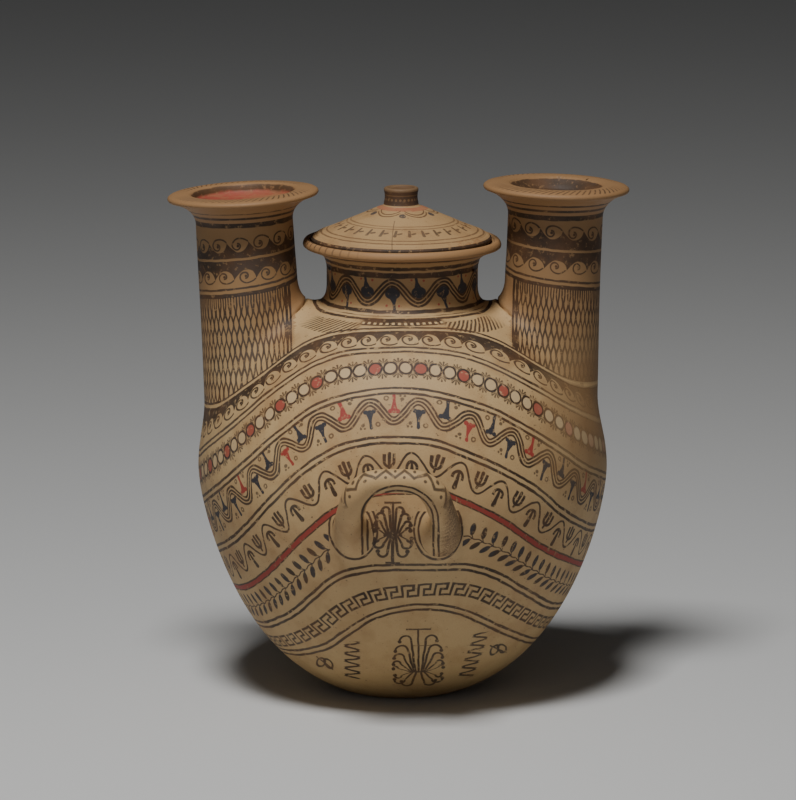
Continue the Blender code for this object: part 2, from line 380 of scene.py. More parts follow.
def outerNeck(key):
    neck = sideNecks[key]
    matrix, length = neckFrame(neck)
    start = sideNecks["start"] - neck["topHeight"]
    stop = neck["rim"][0][1]
    steps = math.ceil((stop - start) / sideNecks["rowSpacing"])
    rows = []
    for step in range(steps):
        height = start + (stop - start) * step / steps
        rows.append((float(shaftRadius(neck, height, length)), height))
    rows += neck["rim"]
    if "funnel" in neck:
        rows.append((36.0, neck["rim"][-1][1]))
    points = placed(turned(rows, sideNecks["columns"]), matrix)
    number = zoneNumber[key + "Neck"]
    faces, zoneOf = wallFaces(len(rows), sideNecks["columns"], [number] * (len(rows) - 1), [number] * 2)
    return newObject(key + "Outer", points, faces, zoneOf)


def innerNeck(key):
    neck = sideNecks[key]
    matrix = neckFrame(neck)[0]
    number = zoneNumber["inside"]
    low = sideNecks["boreStart"] - neck["topHeight"]
    bore = neck["footRadius"] - sideNecks["wall"]
    top = neck["topRadius"] - sideNecks["wall"]
    columns = sideNecks["boreColumns"]
    rows = [(bore, low), (bore, low * 0.75), (bore - neck["boreEase"], low * 0.5), (top, low * 0.25)]
    if "funnel" in neck:
        rows += neck["funnel"]
        numbers = [number] * 6 + [zoneNumber["rightNeck"]] * (len(rows) - 7)
    else:
        stop = neck["boreTop"]
        rows += [(top, stop - 5), (top - 1.5, stop - 1.5), (top - 5, stop)]
        numbers = [number] * (len(rows) - 1)
    points = placed(turned(rows, columns), matrix)
    faces, zoneOf = wallFaces(len(rows), columns, numbers, [number] * 2)
    return newObject(key + "Inner", points, faces, zoneOf)


def smoothCurve(points, steps):
    spots = [np.array(point, float) for point in points]
    spots = [2 * spots[0] - spots[1]] + spots + [2 * spots[-1] - spots[-2]]
    curve = []
    for a, b, c, d in zip(spots, spots[1:], spots[2:], spots[3:]):
        for step in range(steps):
            t = step / steps
            square = (2 * a - 5 * b + 4 * c - d) * t**2
            cube = (3 * b - a - 3 * c + d) * t**3
            curve.append((2 * b + (c - a) * t + square + cube) / 2)
    curve.append(spots[-2])
    return np.array(curve)


def handlePath(turn, steps):
    half = handles["half"]
    full = half + [(-across, out, up, radius) for across, out, up, radius in reversed(half[:-1])]
    path = smoothCurve(full, steps)
    skin = float(bowlRadius(handles["height"]))
    centres = np.stack([path[:, 0], -skin - path[:, 1], handles["height"] + path[:, 2]], 1)
    spin = np.array(Matrix.Rotation(turn, 3, "Z"))
    return centres @ spin.T, path[:, 3]


def loopHandle(name, turn):
    centres, radii = handlePath(turn, handles["steps"])
    lean = Vector((0, -handles["half"][-1][1], handles["half"][-1][2])).normalized()
    face = Matrix.Rotation(turn, 3, "Z") @ lean.cross(Vector((1, 0, 0))).normalized()
    points = []
    sides = handles["sides"]
    for place, centre in enumerate(centres):
        before = centres[max(place - 1, 0)]
        after = centres[min(place + 1, len(centres) - 1)]
        along = Vector(after - before).normalized()
        across = along.cross(face).normalized()
        deep = across.cross(along).normalized()
        for side in range(sides):
            angle = 2 * math.pi * side / sides
            offset = across * math.cos(angle) + deep * math.sin(angle)
            points.append(Vector(centre) + offset * float(radii[place]))
    number = zoneNumber["handle"]
    faces, zoneOf = wallFaces(len(centres), sides, [number] * (len(centres) - 1), [number] * 2)
    handle = newObject(name, points, faces, zoneOf)
    faceOutwards(handle.data)
    return handle


def applied(thing):
    depsgraph = bpy.context.evaluated_depsgraph_get()
    mesh = bpy.data.meshes.new_from_object(thing.evaluated_get(depsgraph), depsgraph=depsgraph)
    thing.modifiers.clear()
    thing.data = mesh
    return thing


def combine(target, other, operation):
    step = target.modifiers.new(other.name, "BOOLEAN")
    step.operation = operation
    step.solver = "EXACT"
    step.object = other
    applied(target)
    bpy.data.objects.remove(other, do_unlink=True)


def profileDistance(points, rows):
    reach = np.hypot(points[:, 0], points[:, 1])
    spots = np.stack([reach, points[:, 2]], 1)
    best = np.full(len(points), 1e9)
    sign = np.ones(len(points))
    for (ra, za), (rb, zb) in zip(rows, rows[1:]):
        edge = np.array([rb - ra, zb - za])
        length = float(edge @ edge)
        share = np.clip(((spots - (ra, za)) @ edge) / length, 0, 1)
        gap = spots - ((ra, za) + share[:, None] * edge)
        distance = np.hypot(gap[:, 0], gap[:, 1])
        outward = gap[:, 0] * edge[1] - gap[:, 1] * edge[0]
        nearer = distance < best
        best = np.where(nearer, distance, best)
        sign = np.where(nearer, np.where(outward >= 0, 1.0, -1.0), sign)
    return best * sign


skinRows = list(zip(skinRadii[::6], skinHeights[::6]))
skinRows += [(belly["neckFootRadius"], shoulderTop)] + belly["neckProfile"][:10]


def neckDistance(points, key):
    neck = sideNecks[key]
    local = inNeck(points, key)
    side = np.hypot(local[:, 0], local[:, 1]) - shaftRadius(neck, local[:, 2], neckFrame(neck)[1])
    return np.maximum(side, sideNecks["start"] - neck["topHeight"] - local[:, 2])


def neckFillet(points, key):
    local = inNeck(points, key)
    reach = np.maximum(np.hypot(local[:, 0], local[:, 1]), 1.0)
    inward = 0.5 - 0.5 * sideNecks[key]["side"] * local[:, 0] / reach
    return fillets["neckOuter"] + (fillets["neckInner"] - fillets["neckOuter"]) * inward


def handleDistance(points, turn):
    centres, radii = handlePath(turn, 5)
    best = np.full(len(points), 1e9)
    for a, b, ra, rb in zip(centres, centres[1:], radii, radii[1:]):
        edge = b - a
        share = np.clip((points - a) @ edge / float(edge @ edge), 0, 1)
        gap = points - (a + share[:, None] * edge)
        distance = np.linalg.norm(gap, axis=1) - (ra + (rb - ra) * share)
        best = np.minimum(best, distance)
    return best


def blended(a, b, width):
    overlap = np.maximum(width - np.abs(a - b), 0) / width
    return np.minimum(a, b) - overlap**2 * width / 4


fillets = {"neckInner": 30.0, "neckOuter": 7.0, "handle": 13.0}


def wholeSkin(points):
    distance = profileDistance(points, skinRows)
    for key in ("left", "right"):
        distance = blended(distance, neckDistance(points, key), neckFillet(points, key))
    for turn in (handles["turn"], handles["turn"] + math.pi):
        distance = blended(distance, handleDistance(points, turn), fillets["handle"])
    return distance


def softenJoints(mesh):
    points = pointsOf(mesh)
    outside = np.ones(len(points), bool)
    for face in mesh.polygons:
        if face.material_index == zoneNumber["inside"]:
            outside[list(face.vertices)] = False
    near = outside & (points[:, 2] > 60) & (points[:, 2] < 392)
    spots = points[near]
    skin = profileDistance(spots, skinRows)
    necks = np.minimum(neckDistance(spots, "left"), neckDistance(spots, "right"))
    loops = np.minimum(
        handleDistance(spots, handles["turn"]), handleDistance(spots, handles["turn"] + math.pi))
    active = np.abs(skin) + np.abs(necks) < fillets["neckInner"] * 1.3
    active |= np.abs(skin) + np.abs(loops) < fillets["handle"] * 1.6
    moving = spots[active]
    probe = 0.05
    for turn in range(4):
        base = wholeSkin(moving)
        slope = np.stack([
            (wholeSkin(moving + np.eye(3)[axis] * probe) - base) / probe for axis in range(3)
        ], 1)
        size = np.maximum((slope**2).sum(1), 0.05)
        step = np.clip(base / size, -4, 4)
        moving = moving - slope * step[:, None]
    spots[active] = moving
    points[near] = spots
    movePoints(mesh, points)


# Colours of the clay and of the paint, as linear values
colours = {
    "slip": (0.49, 0.318, 0.150),
    "slipPale": (0.55, 0.380, 0.190),
    "slipDeep": (0.35, 0.200, 0.085),
    "bareClay": (0.32, 0.165, 0.070),
    "dark": (0.038, 0.022, 0.013),
    "brown": (0.100, 0.048, 0.022),
    "blue": (0.040, 0.036, 0.040),
    "red": (0.33, 0.050, 0.035),
    "cream": (0.60, 0.44, 0.25),
    "grime": (0.075, 0.050, 0.032),
    # worn is real wear, and is also laid on the tall necks and their rims as painted shade
    "worn": (0.25, 0.140, 0.062),
    "lowClay": (0.40, 0.285, 0.110),
}


class Wire:
    def __init__(self, tree, socket):
        self.tree = tree
        self.socket = socket

    def __add__(self, other):
        return calc("ADD", self, other)

    def __sub__(self, other):
        return calc("SUBTRACT", self, other)

    def __rsub__(self, other):
        return calc("SUBTRACT", other, self)

    def __mul__(self, other):
        return calc("MULTIPLY", self, other)

    def __rmul__(self, other):
        return calc("MULTIPLY", other, self)

    def __truediv__(self, other):
        return calc("DIVIDE", self, other)

    def __neg__(self):
        return calc("MULTIPLY", self, -1.0)

    def __abs__(self):
        return calc("ABSOLUTE", self)


def calc(operation, *values, clamp=False):
    tree = next(value.tree for value in values if isinstance(value, Wire))
    node = tree.nodes.new("ShaderNodeMath")
    node.operation = operation
    node.use_clamp = clamp
    for place, value in enumerate(values):
        if isinstance(value, Wire):
            tree.links.new(value.socket, node.inputs[place])
        else:
            node.inputs[place].default_value = value
    return Wire(tree, node.outputs[0])


def least(first, *others):
    for other in others:
        first = calc("MINIMUM", first, other)
    return first


def most(first, *others):
    for other in others:
        first = calc("MAXIMUM", first, other)
    return first


def part(value):
    return calc("FRACT", value)


def whole(value):
    return calc("FLOOR", value)


def wave(value):
    return calc("COSINE", value)


def above(value, limit):
    return calc("GREATER_THAN", value, limit)


def below(value, limit):
    return 1.0 - above(value, limit)


def ramp(value, low, high):
    return calc("DIVIDE", value - low, high - low, clamp=True)


def inside(distance, soft=0.30):
    return calc("MULTIPLY_ADD", distance, -0.5 / soft, 0.5, clamp=True)


def far(x, y):
    return calc("SQRT", x * x + y * y)


def disc(x, y, atX, atY, radius):
    return far(x - atX, y - atY) - radius


def oval(x, y, atX, atY, halfWide, halfHigh, lean=0.0):
    across = x - atX
    up = y - atY
    if lean:
        cosine = math.cos(math.radians(lean))
        sine = math.sin(math.radians(lean))
        across, up = across * cosine + up * sine, up * cosine - across * sine
    size = min(halfWide, halfHigh)
    return far(across * (1 / halfWide), up * (1 / halfHigh)) * size - size


def bar(x, y, start, stop, half, taper=0.0):
    edgeX = stop[0] - start[0]
    edgeY = stop[1] - start[1]
    length = edgeX**2 + edgeY**2
    along = calc("DIVIDE", (x - start[0]) * edgeX + (y - start[1]) * edgeY, length, clamp=True)
    gap = far(x - start[0] - along * edgeX, y - start[1] - along * edgeY)
    if taper:
        return gap - (along * (taper - half) + half)
    return gap - half


def block(x, y, lowX, lowY, highX, highY, half):
    wide = (highX - lowX) / 2 + half
    high = (highY - lowY) / 2 + half
    return most(abs(x - (lowX + highX) / 2) - wide, abs(y - (lowY + highY) / 2) - high)


def noise(tree, source, scale, detail=2.0, rough=0.5, output=0):
    node = tree.nodes.new("ShaderNodeTexNoise")
    node.inputs["Scale"].default_value = scale
    node.inputs["Detail"].default_value = detail
    node.inputs["Roughness"].default_value = rough
    tree.links.new(source, node.inputs["Vector"])
    return Wire(tree, node.outputs[output])


def mixed(tree, mask, low, high):
    node = tree.nodes.new("ShaderNodeMix")
    node.data_type = "RGBA"
    for socket, value in ((node.inputs[0], mask), (node.inputs[6], low), (node.inputs[7], high)):
        if isinstance(value, Wire):
            tree.links.new(value.socket, socket)
        elif isinstance(value, tuple):
            socket.default_value = (*value, 1)
        else:
            socket.default_value = value
    return Wire(tree, node.outputs[2])


# How worn and dirty the clay is, and how unsteady the brush
wear = {
    "wobbleScale": 95.0,
    "wobble": 1.6,
    "breadthScale": 55.0,
    "breadth": 0.85,
    "flakeScale": 210.0,
    "speckScale": 420.0,
    "blotchScale": 11.0,
    "grainScale": 900.0,
    "bump": 0.00035,
}


def makeGround():
    group = bpy.data.node_groups.new("clayGround", "ShaderNodeTree")
    for name in ("Clay", "Dark"):
        group.interface.new_socket(name=name, in_out="OUTPUT", socket_type="NodeSocketColor")
    for name in ("Wear", "WobbleX", "WobbleY", "Breadth", "Grain", "Grime", "Angle", "Reach", "Height"):
        group.interface.new_socket(name=name, in_out="OUTPUT", socket_type="NodeSocketFloat")
    place = group.nodes.new("ShaderNodeTexCoord").outputs["Object"]
    split = group.nodes.new("ShaderNodeSeparateXYZ")
    group.links.new(place, split.inputs[0])
    x = Wire(group, split.outputs[0]) * 1000.0
    y = Wire(group, split.outputs[1]) * 1000.0
    z = Wire(group, split.outputs[2]) * 1000.0
    wobble = noise(group, place, wear["wobbleScale"], 1.0, output="Color")
    channels = group.nodes.new("ShaderNodeSeparateColor")
    group.links.new(wobble.socket, channels.inputs[0])
    breadth = noise(group, place, wear["breadthScale"], 1.0)
    flake = noise(group, place, wear["flakeScale"], 3.0, 0.65)
    speck = noise(group, place, wear["speckScale"], 1.0)
    blotch = noise(group, place, wear["blotchScale"], 4.0, 0.6)
    patch = noise(group, place, wear["blotchScale"] * 3.1, 3.0, 0.6)
    grain = noise(group, place, wear["grainScale"])
    clay = mixed(group, ramp(blotch, 0.35, 0.68), colours["slip"], colours["slipPale"])
    clay = mixed(group, ramp(patch, 0.46, 0.74) * 0.75, clay, colours["slipDeep"])
    lower = ramp(z, 170.0, 30.0) * 0.35
    clay = mixed(group, lower, clay, colours["lowClay"])
    tired = ramp(x, 112.0, 166.0) * ramp(z, 190.0, 240.0) * ramp(z, 345.0, 300.0) * ramp(y, 60.0, 0.0)
    clay = mixed(group, tired * 0.85, clay, colours["worn"])
    clay = mixed(group, ramp(grain, 0.30, 0.75) * 0.22, clay, colours["slipDeep"])
    dots = ramp(speck, 0.70, 0.75) * ramp(patch, 0.32, 0.55)
    clay = mixed(group, dots * 0.7, clay, colours["grime"])
    dark = mixed(group, ramp(patch, 0.38, 0.64), colours["dark"], colours["brown"])
    dark = mixed(group, ramp(blotch, 0.52, 0.64) * 0.6, dark, colours["blue"])
    kept = 1.0 - ramp(flake, 0.57, 0.70) * 0.75
    kept = kept * (1.0 - tired * 0.85) * (ramp(blotch, 0.70, 0.50) * 0.14 + 0.84)
    out = group.nodes.new("NodeGroupOutput")
    grime = ramp(patch, 0.60, 0.80)
    for name, value in (
        ("Clay", clay), ("Dark", dark), ("Wear", kept), ("Breadth", (breadth - 0.5) * 2 * wear["breadth"]),
        ("Grain", grain), ("Grime", grime),
        ("Angle", calc("ARCTAN2", x, -y) * (180 / math.pi)), ("Reach", far(x, y)), ("Height", z),
        ("WobbleX", (Wire(group, channels.outputs[0]) - 0.5) * wear["wobble"]),
        ("WobbleY", (Wire(group, channels.outputs[1]) - 0.5) * wear["wobble"]),
    ):
        group.links.new(value.socket, out.inputs[name])
    return group


ground = makeGround()


class Sheet:
    def __init__(self, name):
        self.material = bpy.data.materials.new(name)
        self.material.use_nodes = True
        self.tree = self.material.node_tree
        node = self.tree.nodes.new("ShaderNodeGroup")
        node.node_tree = ground
        self.node = node
        self.colour = self.out("Clay")
        paint = self.tree.nodes.new("ShaderNodeAttribute")
        paint.attribute_name = "paint"
        split = self.tree.nodes.new("ShaderNodeSeparateXYZ")
        self.tree.links.new(paint.outputs["Vector"], split.inputs[0])
        self.first = Wire(self.tree, split.outputs[0])
        self.second = Wire(self.tree, split.outputs[1])
        self.third = Wire(self.tree, split.outputs[2])
        self.breadth = self.out("Breadth")

    def out(self, name):
        return Wire(self.tree, self.node.outputs[name])

    def place(self):
        return self.tree.nodes.new("ShaderNodeTexCoord").outputs["Object"]

    def noise(self, scale, detail, rough):
        return noise(self.tree, self.place(), scale, detail, rough)

    def stroke(self, distance, half, vary=0.4):
        return inside(distance - half - self.breadth * vary)

    def lay(self, mask, colour="Dark", strength=1.0):
        tint = self.out("Dark") if colour == "Dark" else colours[colour]
        self.colour = mixed(self.tree, mask * self.out("Wear") * strength, self.colour, tint)

    def stain(self, mask, colour):
        self.colour = mixed(self.tree, mask, self.colour, colours[colour])

    def finish(self, roughness=0.62):
        shader = self.tree.nodes["Principled BSDF"]
        self.tree.links.new(self.colour.socket, shader.inputs["Base Color"])
        rough = self.out("Grain") * 0.16 + (roughness - 0.08)
        self.tree.links.new(rough.socket, shader.inputs["Roughness"])
        shader.inputs["Specular IOR Level"].default_value = 0.35
        bump = self.tree.nodes.new("ShaderNodeBump")
        bump.inputs["Distance"].default_value = wear["bump"]
        bump.inputs["Strength"].default_value = 0.6
        self.tree.links.new(self.out("Grain").socket, bump.inputs["Height"])
        self.tree.links.new(bump.outputs[0], shader.inputs["Normal"])
        return self.material


# Repeats of each band: how many millimetres one takes
pitches = {"bandL": 14.9, "bandJ": 11.4, "bandH": 42.0, "bandF": 43.0, "bandD": 13.4, "bandB": 19.0}
fullTurn = 2 * math.pi


# A stroke is drawn where its distance, in millimetres, is below nought
def fromMark(turn, pitch):
    return (part(turn + 0.5) - 0.5) * pitch


def fromGap(turn, pitch):
    return (part(turn) - 0.5) * pitch


def pairLines(sheet, down, apart=2.7):
    return sheet.stroke(abs(abs(down) - apart), 1.25, 0.5)


def startBand(name):
    sheet = Sheet(name)
    pitch = pitches[name]
    turn = sheet.first + sheet.out("WobbleX") / pitch
    down = sheet.second + sheet.out("WobbleY")
    return sheet, turn, down, sheet.third, pitch


def edgeLines(sheet, down, width, upper="pair", lower="pair", apart=2.7):
    for kind, distance, gap in ((upper, down, 2.7), (lower, width - down, apart)):
        if kind == "pair":
            sheet.stain(inside(abs(distance) - gap) * 0.35, "slipPale")
            sheet.lay(pairLines(sheet, distance, gap))
        else:
            side = distance if kind == "redAbove" else -distance
            sheet.lay(sheet.stroke(abs(distance), 3.3, 0.5))
            sheet.lay(sheet.stroke(abs(side - 0.2), 1.9), "red")


def spiralRow(sheet, x, y, pitch, size):
    near = calc("MULTIPLY", abs(x), 2 / pitch, clamp=True)
    rise = size - (size + 3.0) * calc("POWER", near, 1.6)
    fall = (size + 4.0) * calc("SQRT", most(1.0 - calc("POWER", near, 2.5), 0.0)) - 4.0
    edge = rise + (fall - rise) * above(x, 0.0)
    field = inside((edge - y) * 0.7)
    reach = far(x, y)
    turn = calc("ARCTAN2", -y, x)
    turn = turn + below(turn, 0.0) * fullTurn
    tail = most(1.0 - turn / (math.pi / 2), 0.0)
    scale = size / 5.5
    outerTurn = calc("EXPONENT", (turn - math.pi / 2) * -0.19) * (6.1 * scale) + tail * tail * (3.3 * scale)
    innerTurn = calc("EXPONENT", (turn + math.pi * 1.5) * -0.19) * (6.1 * scale)
    outer = abs(reach - outerTurn) + below(turn, 0.30) * 9.0
    inner = abs(reach - innerTurn) + above(turn, 1.7) * 9.0
    curl = sheet.stroke(least(outer, inner), 0.75 * scale, 0.3)
    eye = inside(disc(x, y, 0.5, 0.2, 1.25 * scale))
    return most(field, curl, eye)


def paintBandB():
    sheet, turn, down, width, pitch = startBand("bandB")
    mask = spiralRow(sheet, fromMark(turn, pitch), width * 0.49 - down, pitch, 6.6)
    sheet.lay(mask * above(down, 3.0))
    edgeLines(sheet, down, width)
    return sheet.finish()


def paintBandD():
    sheet, turn, down, width, pitch = startBand("bandD")
    y = width * 0.47 - down
    count = whole(turn + 0.5)
    rim = oval(fromMark(turn, pitch), y, 0.0, 0.0, 5.8, 6.5)
    third = calc("FLOORED_MODULO", count + below(count, -4.5), 3.0)
    sheet.stain(inside(rim) * 0.55, "cream")
    sheet.lay(inside(rim) * below(third, 0.5), "red", 0.95)
    sheet.lay(sheet.stroke(abs(rim), 0.95, 0.3), "Dark", 1.1)
    away = fromGap(turn, pitch)
    high = abs(y)
    marks = least(
        bar(away, high, (0.0, 6.0), (0.0, 10.6), 0.45, 0.85),
        bar(abs(away), high, (0.9, 6.6), (3.3, 9.6), 0.45, 0.85),
        bar(abs(away), high, (0.8, 4.8), (4.2, 8.0), 0.35, 0.5),
    )
    sheet.lay(inside(marks), "Dark", 0.9)
    edgeLines(sheet, down, width)
    return sheet.finish()


def halfWaves(turn, pitch, y):
    place = turn * 2 + 0.5
    count = whole(place)
    odd = calc("FLOORED_MODULO", count, 2.0)
    side = 1.0 - odd * 2
    return fromGap(place, pitch / 2) * side, y * side, count


def waveOffset(turn, y, pitch, high):
    bent = calc("SINE", turn * fullTurn)
    steep = calc("SQRT", bent * bent * (fullTurn * high / pitch) ** 2 + 1.0)
    return (y - wave(turn * fullTurn) * high) / steep


def tripleLine(offset):
    return least(abs(offset), abs(abs(offset) - 3.1))


def chosen(count, picks):
    mask = below(abs(count - float(picks[0])), 0.5)
    for pick in picks[1:]:
        mask = mask + below(abs(count - float(pick)), 0.5)
    return mask


def paintBandF():
    sheet, turn, down, width, pitch = startBand("bandF")
    y = width * 0.42 - down
    x, up, count = halfWaves(turn, pitch, y)
    opening = ramp(up, -15.0, 1.6)
    bell = least(
        most(abs(x) - (opening * opening * 3.6 + 0.8), up - 1.2, -13.5 - up),
        disc(abs(x), up, 3.4, 0.4, 2.1),
        disc(x, up, 0.0, -1.0, 3.2),
        bar(x, up, (0.0, -8.0), (0.6, -14.5), 1.0, 1.5),
    )
    reds = chosen(count, (-6, -3, -1, 2, 5, 9, -9, 14, -14))
    sheet.lay(inside(bell) * (1.0 - reds), "blue", 1.1)
    sheet.lay(inside(bell) * reds, "red", 1.05)
    dots = least(
        disc(x, up, -6.6, -11.2, 1.7),
        disc(x, up, -8.6, -14.0, 1.1),
        disc(x, up, -5.2, -14.4, 1.0),
        abs(disc(x, up, 6.8, -12.0, 1.7)) - 0.7,
    )
    sheet.lay(inside(dots), "Dark", 0.8)
    sheet.lay(sheet.stroke(tripleLine(waveOffset(turn, y, pitch, 9.4)), 0.98, 0.35))
    edgeLines(sheet, down, width)
    return sheet.finish()


def paintBandH():
    sheet, turn, down, width, pitch = startBand("bandH")
    y = width * 0.47 - down
    x, up, count = halfWaves(turn, pitch, y)
    odd = calc("FLOORED_MODULO", count, 2.0)
    crown = most(abs(disc(x, up, 0.0, -2.6, 4.6)) - 1.35 - sheet.breadth * 0.3, -2.6 - up)
    arms = most(abs(abs(x) - 4.6) - 1.35, up + 2.6, -4.6 - up)
    longArms = most(abs(abs(x) - 4.4) - 1.5, up + 2.6, -9.0 - up)
    cap = least(crown, arms, bar(x, up, (0.0, 1.6), (0.5, -12.0), 1.0, 2.3))
    tulip = least(
        crown, longArms,
        bar(x, up, (0.0, 1.6), (0.0, -9.0), 1.3, 1.7),
        bar(x, up, (0.0, 2.0), (0.6, 5.0), 1.2),
    )
    sheet.lay(inside(cap) * (1.0 - odd) + inside(tulip) * odd)
    sheet.lay(sheet.stroke(abs(waveOffset(turn, y, pitch, 9.8)), 1.0, 0.35))
    edgeLines(sheet, down, width, "pair", "redBelow")
    return sheet.finish()


# The two palmettes, in millimetres: the stroke's half width, the top bar's height and half
# width, and for each frond how far it leans, its top and its curl's radius
palmettes = {
    "handle": {
        "half": 1.15,
        "topBar": (29.6, 6.6),
        "rising": ((3.0, 25.5, 3.2), (7.2, 20.0, 3.4), (10.0, 13.0, 2.8), (12.0, 7.0, 1.8)),
        "falling": ((4.6, 20.0, 4.2), (8.0, 12.0, 4.2), (12.5, 6.0, 2.0)),
    },
    "bottom": {
        "half": 0.95,
        "topBar": (46.5, 10.4),
        "rising": (
            (6.5, 39.5, 5.0), (9.0, 29.5, 5.6), (12.5, 20.5, 4.4), (15.5, 12.5, 3.2), (18.0, 6.5, 2.0)),
        "falling": ((15.0, 7.0, 2.8), (12.0, 14.0, 4.6), (5.0, 17.0, 5.0)),
    },
}


def frond(side, up, lean, top, radius, half):
    turnHeight = top - radius
    share = ramp(up, 0.0, turnHeight)
    leg = most(abs(side - (share * 0.6 + 0.4) * lean) - half * 1.1, up - turnHeight, -up)
    arch = most(abs(disc(side, up, lean + radius, turnHeight, radius)) - half, turnHeight - up)
    tip = disc(side, up, lean + radius * 2, turnHeight - 0.8, half + 0.8)
    return least(leg, arch, tip)


def palmette(x, up, name):
    shape = palmettes[name]
    half = shape["half"]
    barHeight, barWide = shape["topBar"]
    marks = [
        bar(x, up, (0.0, 0.0), (0.0, barHeight), half),
        block(x, up, -barWide, barHeight, barWide, barHeight, half * 0.8),
        block(x, up, -7.0, 0.0, 7.0, 0.0, half * 0.9),
    ]
    for fronds, rise in ((shape["rising"], up), (shape["falling"], -up)):
        for lean, top, radius in fronds:
            marks.append(frond(abs(x), rise, lean, top, radius, half))
    return least(*marks)


def sideways(sheet):
    split = sheet.tree.nodes.new("ShaderNodeSeparateXYZ")
    sheet.tree.links.new(sheet.place(), split.inputs[0])
    return Wire(sheet.tree, split.outputs[0]) * -1000.0 * calc("SIGN", Wire(sheet.tree, split.outputs[1]))


# What is painted in the handle's gap and round its feet, in millimetres across and up
gapMarks = {
    "across": -8.6, "palmFoot": 176.2, "stem": (176.0, 151.0), "footLine": 150.4,
    "ringCentres": (-43.0, 31.0), "ringHeight": 181.0, "ringRadii": (17.0, 21.0), "ringTop": 198.0,
}


def paintBandJ():
    sheet, turn, down, width, pitch = startBand("bandJ")
    y = width * 0.5 - down
    angle = sheet.out("Angle")
    front = below(abs(angle), 90.0)
    shown = 1.0 - below(abs(angle + 2.0), 19.0) * front
    shown = shown * (1.0 - below(180.0 - abs(angle), 21.0) * (1.0 - front))
    x = fromGap(turn, pitch)
    leaves = []
    for at in (x, x + calc("SIGN", -x) * pitch):
        leaves += [
            oval(at, y, -1.6, 7.4, 2.5, 5.6, 12.0),
            oval(at, y, -4.4, -6.0, 2.4, 5.8, -42.0),
            bar(at, y, (1.6, 0.0), (-0.6, 3.0), 0.5),
            bar(at, y, (1.6, 0.0), (-1.8, -3.0), 0.5),
        ]
    leaves = least(*leaves)
    stem = abs(y - calc("SINE", turn * fullTurn) * 0.6) - 0.6
    sheet.lay(inside(least(leaves, stem)) * shown)
    sheet.lay(inside(leaves) * shown * ramp(part(turn * 0.37), 0.4, 0.5), "blue", 0.7)

    # The palmette in the handle's gap, and the double rings round its feet
    height = sheet.out("Height") + sheet.out("WobbleY")
    across = sideways(sheet) + sheet.out("WobbleX")
    fromPalm = across - gapMarks["across"]
    foot = gapMarks["footLine"]
    high, low = gapMarks["stem"]
    palm = least(
        palmette(fromPalm, height - gapMarks["palmFoot"], "handle"),
        block(fromPalm, height, -5.5, foot, 5.5, foot, 0.9),
        bar(fromPalm, height, (0.0, high), (0.0, low), 1.5, 1.5),
    )
    sheet.lay(inside(palm))
    rings = []
    for centre in gapMarks["ringCentres"]:
        gap = far(across - centre, (height - gapMarks["ringHeight"]) * 0.76)
        rings += [abs(gap - radius) for radius in gapMarks["ringRadii"]]
    sheet.lay(sheet.stroke(least(*rings), 0.95, 0.3) * below(height, gapMarks["ringTop"]))
    edgeLines(sheet, down, width, "redAbove", "pair")
    return sheet.finish()


def paintBandL():
    sheet, turn, down, width, pitch = startBand("bandL")
    x = part(turn) * pitch
    y = width * 0.5 - down + 8.7 - ramp(turn, 0.5, 5.0) * 4.8
    left = pitch * 0.34
    right = pitch * 0.70
    middle = 5.9
    top = 11.0
    key = least(*[block(x, y, *ends, 1.0) for ends in (
        (0.0, 0.0, 0.0, top), (0.0, top, right, top), (right, middle, right, top),
        (left, middle, right, middle), (left, 0.0, left, middle), (left, 0.0, pitch, 0.0),
        (pitch, 0.0, pitch, top),
    )])
    sheet.lay(sheet.stroke(key, 0.15))
    edgeLines(sheet, down, width, apart=2.9)
    return sheet.finish()


# The palmette, wriggles and crossed leaves on the front of the bowl, in millimetres
bottomMarks = {
    "across": 14.0,
    "palmFoot": 38.5,
    "topLine": 67.6,
    "wriggles": ((-44.5, 28.0, 71.0, 0.0), (62.0, 27.0, 77.0, 0.28)),
    "wriggleRate": 0.74,
    "wriggleWide": 5.4,
    "knots": ((-69.0, 43.0), (85.0, 55.0)),
}


def paintBottom():
    sheet = Sheet("bottom")
    height = sheet.out("Height") + sheet.out("WobbleY")
    across = sideways(sheet) + sheet.out("WobbleX")
    fromPalm = across - bottomMarks["across"]
    line = bottomMarks["topLine"]
    marks = [
        palmette(fromPalm, height - bottomMarks["palmFoot"], "bottom"),
        block(fromPalm, height, -6.0, line, 16.0, line, 0.3),
    ]
    rate = bottomMarks["wriggleRate"]
    wide = bottomMarks["wriggleWide"]
    for centre, low, high, lean in bottomMarks["wriggles"]:
        path = across - centre - (height - low - 22.0) * lean
        slope = wave(height * rate) * 4.0
        gap = abs(path - calc("SINE", height * rate) * wide) / calc("SQRT", slope * slope + 1.0)
        marks.append(most(gap - 1.1, low - height, height - high))
    for centre, middle in bottomMarks["knots"]:
        x = across - centre
        up = height - middle
        marks += [
            abs(oval(x, up, -3.4, 0.0, 3.4, 5.4, -25.0)) - 0.8,
            abs(oval(x, up, 3.4, 0.0, 3.4, 5.4, 25.0)) - 0.8,
            bar(x, up, (-7.0, 6.0), (7.0, -6.0), 0.8),
        ]
    sheet.lay(inside(least(*marks)) * below(abs(sheet.out("Angle")), 90.0))
    sheet.lay(pairLines(sheet, sheet.second + sheet.out("WobbleY"), 2.9))
    sheet.stain(ramp(sheet.out("Height"), 16.0, 3.0) * 0.55, "slipDeep")
    return sheet.finish()


# The painted band, its notches, the hatching and the ring, by reach from the middle in millimetres
shoulderMarks = {
    "band": 83.5, "bandHalf": 4.6, "notches": 84.8, "notchTurn": 3.7, "hatch": 93.5, "hatchHalf": 8.5,
    "hatchPitch": 4.6, "ring": 78.6,
}


